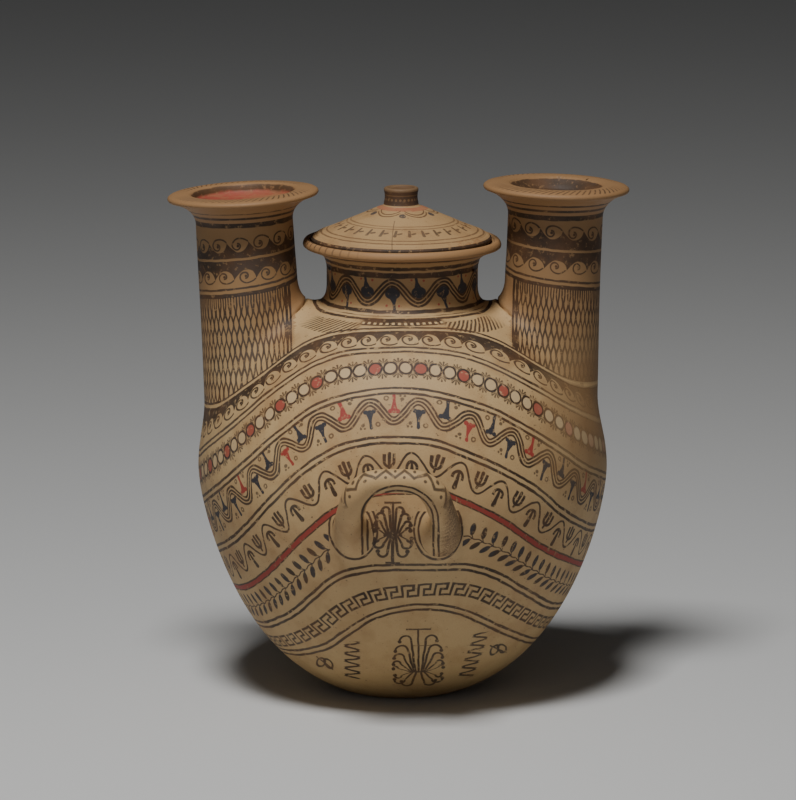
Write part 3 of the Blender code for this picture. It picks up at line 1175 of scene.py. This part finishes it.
def paintShoulder():
    sheet = Sheet("shoulder")
    angle = sheet.out("Angle")
    reach = sheet.out("Reach") + sheet.out("WobbleX")
    near = 90.0 - abs(abs(angle) - 90.0)
    middle = ramp(near, 27.0, 24.0)
    sheet.lay(inside(abs(reach - shoulderMarks["band"]) - shoulderMarks["bandHalf"]) * middle)
    notch = abs(fromGap(angle / shoulderMarks["notchTurn"], 5.4)) - 1.3
    notch = most(notch, abs(reach - shoulderMarks["notches"]) - 1.5)
    sheet.stain(inside(notch) * middle, "slipPale")
    hatch = abs(fromGap((angle * 1.5 + reach * 0.9) / shoulderMarks["hatchPitch"], 4.2)) - 1.05
    length = abs(reach - shoulderMarks["hatch"]) - shoulderMarks["hatchHalf"] - sheet.breadth * 3
    hatch = most(hatch, length)
    sheet.lay(inside(hatch) * (1.0 - middle) * ramp(near, 66.0, 58.0), "Dark", 0.95)
    sheet.lay(sheet.stroke(abs(reach - shoulderMarks["ring"]), 1.6))
    sheet.lay(pairLines(sheet, sheet.second + sheet.out("WobbleY")))
    return sheet.finish()


# The wave round the middle neck, in millimetres, and each ring's height, half width and unevenness
neckWave = {
    "count": 9, "turn": 7.7, "pitch": 47.0, "height": 371.0, "high": 8.8,
    "rings": ((392.6, 1.8, 0.5), (386.4, 2.5, 0.5), (354.6, 1.5, 0.4), (349.6, 1.6, 0.4)),
}


def paintMiddleNeck():
    sheet = Sheet("middleNeck")
    angle = sheet.out("Angle")
    height = sheet.out("Height") + sheet.out("WobbleY")
    # The neck is stained deeper above 350 mm as painted shade under the lip and lid
    sheet.stain(ramp(height, 350.0, 362.0) * 0.75, "slipDeep")
    pitch = neckWave["pitch"]
    turn = (angle + neckWave["turn"]) / (360.0 / neckWave["count"]) + sheet.out("WobbleX") / pitch
    y = height - neckWave["height"]
    x, up = halfWaves(turn, pitch, y)[:2]
    leaf = least(
        oval(x, up, 0.0, -0.6, 6.6, 4.9),
        bar(x, up, (0.0, 0.0), (1.6, -9.0), 4.8, 1.4),
        bar(x, up, (0.8, -6.0), (2.6, -15.0), 1.2),
    )
    sheet.lay(inside(leaf), "blue", 1.1)
    dots = least(disc(x, up, -5.0, -11.0, 1.1), disc(x, up, 6.2, -11.4, 1.0))
    sheet.lay(inside(dots), "red", 0.9)
    sheet.lay(sheet.stroke(tripleLine(waveOffset(turn, y, pitch, neckWave["high"])), 1.0, 0.3))
    rings = [abs(height - at) - half - sheet.breadth * vary for at, half, vary in neckWave["rings"]]
    sheet.lay(inside(least(*rings)))

    # The lip and the seat inside it
    reach = sheet.out("Reach")
    sheet.stain(ramp(height, 397.0, 400.0) * 0.65, "bareClay")
    # The seat inside the lip is painted dark, and the band is widened towards the left as painted shadow of
    # the gap under the lid
    darkSeatAndShadow = below(reach - ramp(-angle, 20.0, 70.0) * 2.6, 82.6)
    sheet.lay(darkSeatAndShadow * above(height, 399.0) * 0.9)
    tongue = most(abs(fromGap(angle / 6.0, 8.8)) - 0.9, abs(reach - 86.0) - 2.0)
    sheet.lay(inside(tongue) * ramp(-angle, 20.0, 60.0) * above(height, 404.0), "Dark", 0.8)
    return sheet.finish()


# Where each painted row of the two tall necks is, from the rim's edge down, in millimetres, and how
# strongly the neck and its rim are darkened as painted shade
neckRows = {
    "leftNeck": {
        "inner": 1.0, "slope": 0.045, "upper": -38.0, "lightLine": -50.5, "lower": -65.5, "ending": -76.1,
        "netTop": -83.5, "count": 14, "upperTurn": 8.0, "lowerTurn": 1.5, "paintedShade": 0.50,
    },
    "rightNeck": {
        "inner": -1.0, "slope": -0.045, "upper": -34.0, "lightLine": -49.6, "lower": -63.6, "ending": -76.4,
        "netTop": -83.4, "count": 13, "upperTurn": 6.0, "lowerTurn": -1.0, "paintedShade": 0.75,
    },
}
rimLines = (9.0, 14.4)
neckNet = {"perDegree": 44.0 * math.pi / 180.0, "spacing": 2.6, "sway": 0.5, "swayRun": 24.0, "half": 0.84}


def paintNet(sheet, angle, level):
    across = angle * neckNet["perDegree"] / neckNet["spacing"]
    sway = calc("SINE", (level + 6.0) * (fullTurn / neckNet["swayRun"])) * neckNet["sway"]
    sway = sway * ramp(level, -5.0, -16.0)
    even = abs(part((across - sway) * 0.5) - 0.5)
    odd = abs(part((across + sway) * 0.5 + 0.5) - 0.5)
    gap = (0.5 - most(even, odd)) * (2 * neckNet["spacing"])
    return sheet.stroke(gap, neckNet["half"], 0.5)


def paintSideNeck(name):
    rows = neckRows[name]
    sheet = Sheet(name)
    angle = sheet.first + sheet.out("WobbleX")
    level = sheet.second + sheet.out("WobbleY")
    slanted = calc("SIGN", angle) * (90.0 - abs(abs(angle) - 90.0))
    height = level - slanted * rows["slope"]
    # The upper part of each tall neck is stained deeper and browner as painted shade, the browner stain
    # stronger on the right neck
    sheet.stain(ramp(level, -150.0, -90.0) * 0.8, "slipDeep")
    sheet.stain(ramp(level, -190.0, -60.0) * rows["paintedShade"], "worn")
    pitch = 268.0 / rows["count"]
    turn = (angle + rows["upperTurn"]) * (rows["count"] / 360.0)
    upper = spiralRow(sheet, fromMark(turn, pitch), rows["upper"] - height, pitch, 5.6)
    upper = upper * above(height, rows["lightLine"] + 1.2) * below(height, rows["upper"] + 8.5)
    turn = (angle + rows["lowerTurn"]) * (rows["count"] / 360.0)
    lower = spiralRow(sheet, fromMark(turn, pitch), height - rows["lower"], pitch, 5.4)
    lower = lower * below(height, rows["lightLine"] - 1.0) * above(height, rows["lower"] - 9.0)
    sheet.lay(most(upper, lower))
    steeper = level - slanted * (rows["slope"] * 1.7)
    bands = least(
        abs(steeper - rows["ending"]) - 1.0,
        most(steeper - (rows["ending"] - 3.6), rows["netTop"] - steeper),
        *[abs(level + down) - 1.2 for down in rimLines],
        abs(level + 20.4) - 2.6,
    )
    sheet.lay(inside(bands - sheet.breadth * 0.4))

    # The net, which leaves a plain strip towards the middle neck between two pairs of posts
    side = abs(angle * rows["inner"] - 90.0)
    plain = ramp(side, 33.0, 32.0)
    down = steeper - rows["netTop"]
    sheet.lay(paintNet(sheet, angle, down) * below(down, 1.0) * (1.0 - plain))
    sheet.stain(plain * below(down, -1.0) * ramp(steeper, -125.0, -95.0) * 0.5, "bareClay")
    posts = least(abs(side - 34.0), abs(side - 41.0)) * neckNet["perDegree"]
    sheet.lay(sheet.stroke(posts, 1.6, 0.5) * below(down, 1.0))
    sheet.stain(inside(abs(sheet.third) - 3.2), "slip")
    sheet.lay(pairLines(sheet, sheet.third + sheet.out("WobbleY")))
    return sheet.finish()


# The tongues on the rims, the left one's red disc and the right one's mouth, darkened as painted shade, in
# millimetres
rimMarks = {"tongueReach": 56.5, "tongueHalf": 5.5, "tongueTurn": 5.6, "disc": 44.6, "mouth": 40.6}


def paintRim(name):
    sheet = Sheet(name)
    angle = sheet.first
    level = sheet.second
    reach = sheet.third + sheet.out("WobbleX")
    sheet.stain(0.85, "bareClay")
    # The rim is darkened with the worn colour as painted shade, as strongly as its neck
    sheet.stain(neckRows[name.replace("Rim", "Neck")]["paintedShade"] * 0.8, "worn")
    leaning = angle + (reach - 56.0) * 0.8
    stroke = abs(fromGap(leaning / rimMarks["tongueTurn"], 5.4)) - 0.75
    length = abs(reach - rimMarks["tongueReach"]) - rimMarks["tongueHalf"] - sheet.breadth * 2
    shown = above(level, 1.0) * ramp(abs(abs(angle) - 90.0), 8.0, 30.0)
    sheet.lay(inside(most(stroke, length)) * shown, "Dark", 0.85)
    if name == "leftRim":
        top = above(level, -6.0)
        redDisc = inside(reach - rimMarks["disc"]) * top
        sheet.lay(redDisc, "red", 0.85)
        worn = ramp(sheet.noise(24.0, 4.0, 0.7), 0.44, 0.60)
        sheet.stain(redDisc * worn * 0.75, "bareClay")
        sheet.lay(inside(abs(reach - rimMarks["disc"] - 0.8) - 0.9) * top, "Dark", 0.8)
    else:
        # The right mouth's throat is painted dark as painted shade inside the opening
        sheet.lay(inside(reach - rimMarks["mouth"]), "Dark", 0.95)
    rings = sheet.stroke(least(*[abs(level + down) for down in rimLines]), 1.1)
    sheet.lay(rings * below(reach, 50.0) * below(level, -7.0))
    return sheet.finish(0.6)


# The zigzag and its dots over the top of the handle and the double line along its inner
# edge, in millimetres from the handle's middle as it is seen
handleMarks = {
    "pitch": 15.3, "half": 10.4, "zigzag": -6.3, "zigzagHigh": 6.0, "upperDot": -8.6, "lowerDot": -3.4,
    "lineApart": 2.2,
}


def paintHandle():
    sheet = Sheet("handle")
    along = sheet.first + sheet.out("WobbleX")
    angle = sheet.second
    pitch = handleMarks["pitch"]
    high = handleMarks["zigzagHigh"]
    offset = calc("SINE", angle * (math.pi / 180.0)) * handleMarks["half"]
    zigzag = abs(part(along / pitch) - 0.5) * (2 * high) - high / 2
    marks = least(
        abs(offset - handleMarks["zigzag"] - zigzag) * 0.62 - 0.85,
        disc(fromMark(along / pitch, pitch), offset, 0.0, handleMarks["upperDot"], 1.2),
        disc(fromGap(along / pitch, pitch), offset, 0.0, handleMarks["lowerDot"], 1.3),
    )
    sheet.lay(inside(marks) * ramp(abs(along), 50.0, 44.0), "Dark", 0.85)
    apart = handleMarks["lineApart"]
    pair = abs(abs(sheet.third + sheet.out("WobbleY") + apart) - apart)
    sheet.lay(sheet.stroke(pair, 0.95, 0.35) * below(angle, 96.0))

    # The scuffed lower part of the front handle's right leg
    turn = sheet.out("Angle")
    scuff = ramp(turn, 9.0, 11.3) * ramp(sheet.out("Height"), 232.0, 212.0) * below(turn, 40.0)
    scratch = inside(abs(fromGap((along * 0.9 + angle * 0.10) / 4.2, 4.2)) - 0.9)
    sheet.stain(scuff * ramp(sheet.out("Grain"), 0.30, 0.62) * 0.75, "worn")
    sheet.lay(scratch * scuff * ramp(sheet.breadth, -0.25, 0.25), "brown", 0.8)
    sheet.stain(scuff * ramp(sheet.out("Grime") + sheet.out("Grain"), 0.2, 0.9) * 0.55, "grime")
    return sheet.finish()


def paintInside():
    sheet = Sheet("inside")
    sheet.stain(0.7, "bareClay")
    return sheet.finish(0.75)


# The lid's painted rings and sprigs by their reach from its middle, the rest by height
lidMarks = {
    "redRing": 19.5, "rings": (46.0, 49.6), "edges": (67.5, 72.6), "sprigs": 56.4, "sprigTurn": 12.6,
    "swags": 31.5, "swagTurn": 60.0, "knots": 29.5, "knobFoot": 440.5, "knobBand": 446.8,
    "beads": 445.6, "crackTurn": 10.6,
}


def paintLid():
    sheet = Sheet("lidPaint")
    angle = sheet.out("Angle")
    reach = sheet.out("Reach") + sheet.out("WobbleX") * 0.7
    height = sheet.out("Height")
    grime = sheet.out("Grime")
    sheet.stain(grime * 0.40 + 0.50, "slipDeep")
    sheet.stain(grime * 0.40 + 0.12 + ramp(sheet.noise(26.0, 3.0, 0.6), 0.52, 0.66) * 0.35, "worn")
    sheet.lay(inside(abs(reach - lidMarks["redRing"]) - 3.2) * below(height, 439.5), "red", 0.5)
    for name, half, vary, strength in (("rings", 0.62, 0.3, 0.62), ("edges", 0.8, 0.35, 0.7)):
        first, second = lidMarks[name]
        pair = least(abs(reach - first), abs(reach - second))
        sheet.lay(sheet.stroke(pair, half, vary), "brown", strength)
    x = fromGap(angle / lidMarks["sprigTurn"], 12.4)
    y = lidMarks["sprigs"] - reach
    sprig = least(
        bar(x, y, (-0.3, -3.8), (0.3, 3.8), 1.5, 1.2),
        bar(x, y, (2.6, -0.3), (5.4, 0.5), 1.2, 1.0),
    )
    sheet.lay(inside(sprig), "Dark", 0.8)
    swagTurn = angle / lidMarks["swagTurn"]
    swag = abs(part(swagTurn) - 0.5)
    curve = lidMarks["swags"] - swag * swag * 34.0
    swags = least(abs(reach - curve), abs(reach - curve + 3.2)) - 0.75
    sheet.lay(inside(most(swags, swag * 34.0 - 14.5)), "brown", 0.9)
    sheet.lay(inside(disc(fromMark(swagTurn, 30.0), reach, 0.0, lidMarks["knots"], 3.0)), "blue", 0.9)
    fromCrack = angle + lidMarks["crackTurn"] - (reach - 40.0) * 0.10
    crack = abs(fromCrack) * reach * (math.pi / 180) - 0.32
    sheet.lay(inside(most(crack, 37.0 - reach)), "Dark", 0.8)
    chipped = inside(abs(reach - 76.0) - 3.4) * ramp(angle, 30.0, 36.0) * ramp(angle, 74.0, 64.0)
    sheet.stain(chipped * ramp(sheet.noise(190.0, 2.0, 0.7), 0.48, 0.56) * 0.8, "bareClay")

    knob = above(height, lidMarks["knobFoot"])
    wall = knob * above(reach, 12.6)
    sheet.stain(knob * 0.85, "worn")
    sheet.stain(knob * 0.45, "grime")
    sheet.lay(inside(abs(height - lidMarks["knobBand"]) - 6.2) * wall, "Dark", 0.95)
    bead = disc(fromGap(angle / 15.0, 3.9), height, 0.0, lidMarks["beads"], 1.15)
    sheet.stain(inside(bead) * knob * 0.6, "worn")
    sheet.stain(inside(abs(height - 449.4) - 0.5) * wall * 0.5, "worn")
    sheet.lay(inside(reach - 11.0) * above(height, 449.0), "brown", 0.6)
    # The lid's outer edge and underside are painted dark as painted shadow of the gap over the rim
    sheet.lay(above(reach, 77.0) * below(height, 412.0))
    return sheet.finish(0.64)


paints = {
    "bottom": paintBottom(),
    "bandL": paintBandL(),
    "bandJ": paintBandJ(),
    "bandH": paintBandH(),
    "bandF": paintBandF(),
    "bandD": paintBandD(),
    "bandB": paintBandB(),
    "shoulder": paintShoulder(),
    "middleNeck": paintMiddleNeck(),
    "leftNeck": paintSideNeck("leftNeck"),
    "rightNeck": paintSideNeck("rightNeck"),
    "leftRim": paintRim("leftRim"),
    "rightRim": paintRim("rightRim"),
    "handle": paintHandle(),
    "inside": paintInside(),
}
lidPaint = paintLid()
print("paints mixed", {name: len(paint.node_tree.nodes) for name, paint in paints.items()})

pot = outerBelly()
for key in ("left", "right"):
    combine(pot, outerNeck(key), "UNION")
for name, turn in (("frontHandle", handles["turn"]), ("backHandle", handles["turn"] + math.pi)):
    combine(pot, loopHandle(name, turn), "UNION")
print("outer form joined", len(pot.data.polygons))
combine(pot, innerBelly(), "DIFFERENCE")
for key in ("left", "right"):
    combine(pot, innerNeck(key), "DIFFERENCE")
print("hollows cut", len(pot.data.polygons))
softenJoints(pot.data)
print("joints softened")

# Places of the repeats, read in degrees round from the front, and the count of each
places = {
    "bandB": ((-48.9, -43.9, -36.1, -27.2, -17.8, -8.3, 2.8, 12.5, 23.6, 32.8, 42.8, 50.8), range(-6, 6)),
    "bandD": (
        (-70.6, -60.8, -51.9, -42.8, -31.9, -10.8, 6.9, 22.8, 36.1, 46.9),
        (-19, -16, -13, -10, -7, -3, 0, 3, 6, 9)),
    "bandF": ((-55.6, -45.6, -35.6, -25.3, -10.3, 5.0, 20.6, 32.8, 44.4, 55.6), range(-5, 5)),
    "bandH": ((-66.0, -53.0, -42.0, -32.0, -21.0, -10.0, 2.5, 15.8, 27.8, 39.4, 51.5), range(-6, 5)),
}
edgesOf = {
    "bandB": ("A", "C"), "bandD": ("C", "E"), "bandF": ("E", "G"), "bandH": ("G", "I"),
    "bandJ": ("I", "K"), "bandL": ("K", "M"),
}


def bandTable(zone):
    upper, lower = edgesOf[zone]
    angles = np.linspace(-90, 90, 721)
    high = runAt(lineHeight(upper, angles))
    low = runAt(lineHeight(lower, angles))
    middle = (high + low) / 2
    radius = radiusAt(heightAt(middle))
    step = np.hypot(np.diff(middle), np.diff(np.radians(angles)) * (radius[1:] + radius[:-1]) / 2)
    run = np.concatenate([[0], np.cumsum(step)])
    run -= np.interp(0.0, angles, run)
    slope = np.arctan2(np.gradient(middle), np.gradient(np.radians(angles)) * radius)
    pitch = pitches[zone]
    if zone in places:
        measured, counts = places[zone]
        at = np.interp(trueAngle(measured), angles, run)
        ends = np.clip(run, at[0], at[-1])
        phase = np.interp(ends, at, list(counts)) + (run - ends) / pitch
    else:
        phase = run / pitch
    return angles, high, low, run, slope, phase


def bandPaint(zone, angle, run):
    angles, high, low, along, slope, phase = bandTable(zone)
    pitch = pitches[zone]
    place = folded(angle)
    highHere = np.interp(place, angles, high)
    lowHere = np.interp(place, angles, low)
    slopeHere = np.interp(place, angles, slope)
    offset = run - (highHere + lowHere) / 2
    shift = np.interp(place, angles, along) + offset * np.sin(slopeHere)
    steady = np.interp(shift, along, phase)
    steady = steady + (shift - np.clip(shift, along[0], along[-1])) / pitch
    front = phase[-1] - phase[0]
    wanted = round(2 * front / 6) * 6 if zone == "bandD" else round(2 * front)
    stretch = (wanted - front) / front
    back = np.abs(angle) > 90
    pivot = np.where(angle > 0, phase[-1], phase[0])
    steady = np.where(back, pivot + (pivot - steady) * stretch, steady)
    cosine = np.cos(slopeHere)
    down = (highHere - run) * cosine
    width = (highHere - lowHere) * cosine
    return np.stack([steady, down, width], 1)


def lineDistance(name, angle, run):
    angles = np.linspace(-180, 180, 1441)
    heights = runAt(lineHeight(name, angles))
    across = np.gradient(np.radians(angles)) * radiusAt(heightAt(heights))
    slope = np.arctan2(np.gradient(heights), across)
    here = (angle + 180) % 360 - 180
    return (run - np.interp(here, angles, heights)) * np.cos(np.interp(here, angles, slope))


def angleRound(points):
    return np.degrees(np.arctan2(points[:, 0], -points[:, 1]))


def unwrapped(angle, about):
    return angle - 360 * np.round((angle - about) / 360)


def neckTurn(local, key):
    neck = sideNecks[key]
    radius = shaftRadius(neck, local[:, 2], neckFrame(neck)[1])
    straight = np.degrees(np.arcsin(np.clip(local[:, 0] / radius, -1, 1)))
    straight = np.where(local[:, 1] > 0, 180 - straight, straight)
    apart = np.hypot(local[:, 0], local[:, 1]) > radius * 1.01
    return np.where(apart & (local[:, 2] < -60), straight, angleRound(local))


def neckPaint(zone, key, spots, middles, distance):
    local = inNeck(spots, key)
    turn = unwrapped(neckTurn(local, key), neckTurn(inNeck(middles, key), key))
    third = distance if zone == key + "Neck" else np.hypot(local[:, 0], local[:, 1])
    return np.stack([turn, local[:, 2], third], 1)


def handlePaint(points, turn):
    centres, radii = handlePath(turn, 6)
    run = np.concatenate([[0], np.cumsum(np.linalg.norm(np.diff(centres, axis=0), axis=1))])
    run -= run[-1] / 2
    spin = Matrix.Rotation(turn, 3, "Z")
    outward = np.array(spin @ Vector((0, -1, handles["faceLift"])).normalized())
    archMiddle = (centres[0] + centres[-1]) / 2
    archMiddle[2] += handles["half"][-1][2] / 2
    best = np.full(len(points), 1e9)
    result = np.zeros((len(points), 3))
    for place in range(len(centres) - 1):
        edge = centres[place + 1] - centres[place]
        length = float(np.linalg.norm(edge))
        share = np.clip((points - centres[place]) @ edge / length**2, 0, 1)
        gap = points - (centres[place] + share[:, None] * edge)
        distance = np.linalg.norm(gap, axis=1)
        across = np.cross(edge, outward)
        across *= np.sign(across @ (archMiddle - centres[place])) / np.linalg.norm(across)
        seen = np.degrees(np.arcsin(np.clip(gap @ across / radii[place], -1, 1)))
        angle = np.where(gap @ outward < 0, 180 - seen, seen)
        nearer = distance < best
        best = np.where(nearer, distance, best)
        result[nearer, 0] = (run[place] + share * length)[nearer]
        result[nearer, 1] = angle[nearer]

    # The painted double line is a horseshoe as it is seen from the front
    shoe = handles["horseshoe"]
    facing = points @ np.array(spin)
    upright = np.array(Vector((0, handles["faceLift"], 1)).normalized())
    aside = (facing[:, 0] - shoe["middle"]) / shoe["halfWide"]
    rise = np.clip(facing @ upright - (shoe["top"] - shoe["high"]), 0, None) / shoe["high"]
    result[:, 2] = (np.hypot(aside, rise) - 1) * shoe["halfWide"]
    return result


def sortZones(zoneOf, middles):
    # The neck's own skin below the uppermost line belongs to the bands round the belly
    isNeck = (zoneOf == zoneNumber["leftNeck"]) | (zoneOf == zoneNumber["rightNeck"])
    lower = isNeck & (middles[:, 2] < 345)
    for zone in ("bandB", "bandD", "bandF"):
        top = lineHeight(edgesOf[zone][0], angleRound(middles))
        zoneOf = np.where(lower & (middles[:, 2] < top), zoneNumber[zone], zoneOf)
    for key in ("left", "right"):
        rim = (zoneOf == zoneNumber[key + "Neck"]) & (inNeck(middles, key)[:, 2] > -19.0)
        zoneOf = np.where(rim, zoneNumber[key + "Rim"], zoneOf)
        beside = (zoneOf == zoneNumber["shoulder"]) & (middles[:, 0] * sideNecks[key]["side"] > 96)
        zoneOf = np.where(beside, zoneNumber[key + "Neck"], zoneOf)
    return zoneOf


def markPaint(mesh):
    sizes = readAll(mesh.polygons, "loop_total", kind=int)
    faceOf = np.repeat(np.arange(len(sizes)), sizes)
    spots = pointsOf(mesh)[readAll(mesh.loops, "vertex_index", kind=int)]
    middles = np.zeros((len(sizes), 3))
    np.add.at(middles, faceOf, spots)
    middles /= sizes[:, None]
    zoneOf = sortZones(readAll(mesh.polygons, "material_index", kind=int), middles)
    mesh.polygons.foreach_set("material_index", zoneOf)

    middles = middles[faceOf]
    angle = unwrapped(angleRound(spots), angleRound(middles))
    run = runAt(spots[:, 2])
    cornersOf = {zone: zoneOf[faceOf] == number for zone, number in zoneNumber.items()}
    values = np.zeros((len(spots), 3))
    for zone in edgesOf:
        here = cornersOf[zone]
        values[here] = bandPaint(zone, angle[here], run[here])
    for zone, line in (("bottom", "M"), ("shoulder", "A")):
        here = cornersOf[zone]
        values[here, 1] = lineDistance(line, angle[here], run[here])
    for key in ("left", "right"):
        for zone in (key + "Neck", key + "Rim"):
            here = cornersOf[zone]
            distance = lineDistance("A", angle[here], run[here])
            values[here] = neckPaint(zone, key, spots[here], middles[here], distance)
    front = middles[:, 1] < 0
    for turn, half in ((handles["turn"], front), (handles["turn"] + math.pi, ~front)):
        here = cornersOf["handle"] & half
        paint = handlePaint(spots[here], turn)
        paint[:, 1] = unwrapped(paint[:, 1], handlePaint(middles[here], turn)[:, 1])
        values[here] = paint
    attribute = mesh.attributes.new("paint", "FLOAT_VECTOR", "CORNER")
    attribute.data.foreach_set("vector", values.ravel())


markPaint(pot.data)
print("paint marked")
movePoints(pot.data, unevenBy(pointsOf(pot.data), belly["unevenness"]) / 1000)

# The lid, in millimetres: radius and height
lidShape = {
    "columns": 192,
    "centre": (-1.2, 0.0),
    "profile": [
        (0.0, 432.0), (12.0, 431.6), (20.9, 430.0), (44.0, 421.2), (69.0, 411.4), (71.4, 409.0),
        (72.1, 407.1), (74.0, 407.0), (77.3, 407.0), (79.4, 407.5), (80.4, 408.4), (80.8, 409.8),
        (80.4, 411.0), (79.4, 411.8), (78.0, 412.6), (76.9, 413.3), (76.2, 413.4), (75.4, 413.9),
        (74.6, 414.7), (72.9, 415.4), (70.4, 416.4), (66.0, 418.1), (58.0, 421.4), (50.0, 425.0),
        (42.0, 428.4), (34.0, 431.9), (27.0, 435.1), (22.6, 437.0), (20.4, 437.9), (18.0, 438.6),
        (16.4, 439.4), (15.5, 440.6), (15.3, 442.4), (14.8, 444.8), (14.6, 447.6), (14.8, 450.4),
        (15.3, 452.6), (15.4, 454.1), (14.9, 455.2), (13.8, 455.7), (12.4, 455.6), (11.2, 455.0),
        (9.8, 453.8), (7.4, 453.0), (0.0, 452.7),
    ],
}


def makeLid():
    columns = lidShape["columns"]
    rows = lidShape["profile"]
    points = turned(rows[1:-1], columns)
    faces = wallFaces(len(rows) - 2, columns, [0] * (len(rows) - 3), [0, 0])[0]
    piece = newObject("lidPiece", points, faces)
    faceOutwards(piece.data)
    movePoints(piece.data, (points + np.array([*lidShape["centre"], 0.0])) / 1000)
    piece.data.materials.clear()
    piece.data.materials.append(lidPaint)
    return piece


lid = makeLid()

for piece, node, slotName in ((pot, "vessel", "painted_clay"), (lid, "lid", "lid_clay")):
    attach(piece, "root")
    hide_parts(node)
    faces = piece.data.polygons
    print(piece.name, len(faces), "faces", sum(len(face.vertices) - 2 for face in faces), "triangles")

# The floor, the light and the camera
stageSet = {
    "floorSize": 30.0,
    "floorColour": (0.64, 0.64, 0.63),
    "worldColour": (0.78, 0.79, 0.80),
    "worldStrength": 0.030,
    "keyPower": 84.0,
    "keyPlace": (-0.34, -1.27, 2.90),
    "keySize": 0.7,
    "fillPower": 4.0,
    "fillPlace": (-0.3, -2.4, 0.6),
    "fillSize": 1.6,
    "aim": (-0.0040, 0.0, 0.2628),
    "elevation": math.radians(10.5),
    "distance": 5.97,
    "lens": 300.0,
    "sensor": 36.0,
    "pixels": (796, 800),
}


def addLight(name):
    lamp = bpy.data.lights.new(name + "Light", "AREA")
    lamp.shape = "SQUARE"
    lamp.size = stageSet[name + "Size"]
    lamp.energy = stageSet[name + "Power"]
    thing = bpy.data.objects.new(name + "Light", lamp)
    place = Vector(stageSet[name + "Place"])
    thing.location = place
    thing.rotation_euler = (Vector(stageSet["aim"]) - place).to_track_quat("-Z", "Y").to_euler()
    bpy.context.scene.collection.objects.link(thing)
    return thing


def buildStage():
    half = stageSet["floorSize"] / 2
    mesh = bpy.data.meshes.new("floor")
    corners = [(-half, -half, 0), (half, -half, 0), (half, half, 0), (-half, half, 0)]
    mesh.from_pydata(corners, [], [(0, 1, 2, 3)])
    floor = bpy.data.objects.new("floor", mesh)
    bpy.context.scene.collection.objects.link(floor)
    material = bpy.data.materials.new("floorPaint")
    material.use_nodes = True
    shader = material.node_tree.nodes["Principled BSDF"]
    shader.inputs["Base Color"].default_value = (*stageSet["floorColour"], 1)
    shader.inputs["Roughness"].default_value = 0.9
    mesh.materials.append(material)
    addLight("key")
    addLight("fill")
    world = bpy.data.worlds.new("studio")
    world.use_nodes = True
    background = world.node_tree.nodes["Background"]
    background.inputs["Color"].default_value = (*stageSet["worldColour"], 1)
    background.inputs["Strength"].default_value = stageSet["worldStrength"]
    bpy.context.scene.world = world


def placeCamera():
    view = bpy.data.cameras.new("view")
    view.lens = stageSet["lens"]
    view.sensor_width = stageSet["sensor"]
    camera = bpy.data.objects.new("view", view)
    tilt = stageSet["elevation"]
    reach = stageSet["distance"]
    aim = Vector(stageSet["aim"])
    camera.location = aim + Vector((0, -reach * math.cos(tilt), reach * math.sin(tilt)))
    camera.rotation_euler = (aim - camera.location).to_track_quat("-Z", "Y").to_euler()
    bpy.context.scene.collection.objects.link(camera)
    scene = bpy.context.scene
    scene.camera = camera
    scene.render.resolution_x, scene.render.resolution_y = stageSet["pixels"]
    scene.render.resolution_percentage = 100


buildStage()
placeCamera()
print("stage and camera set")
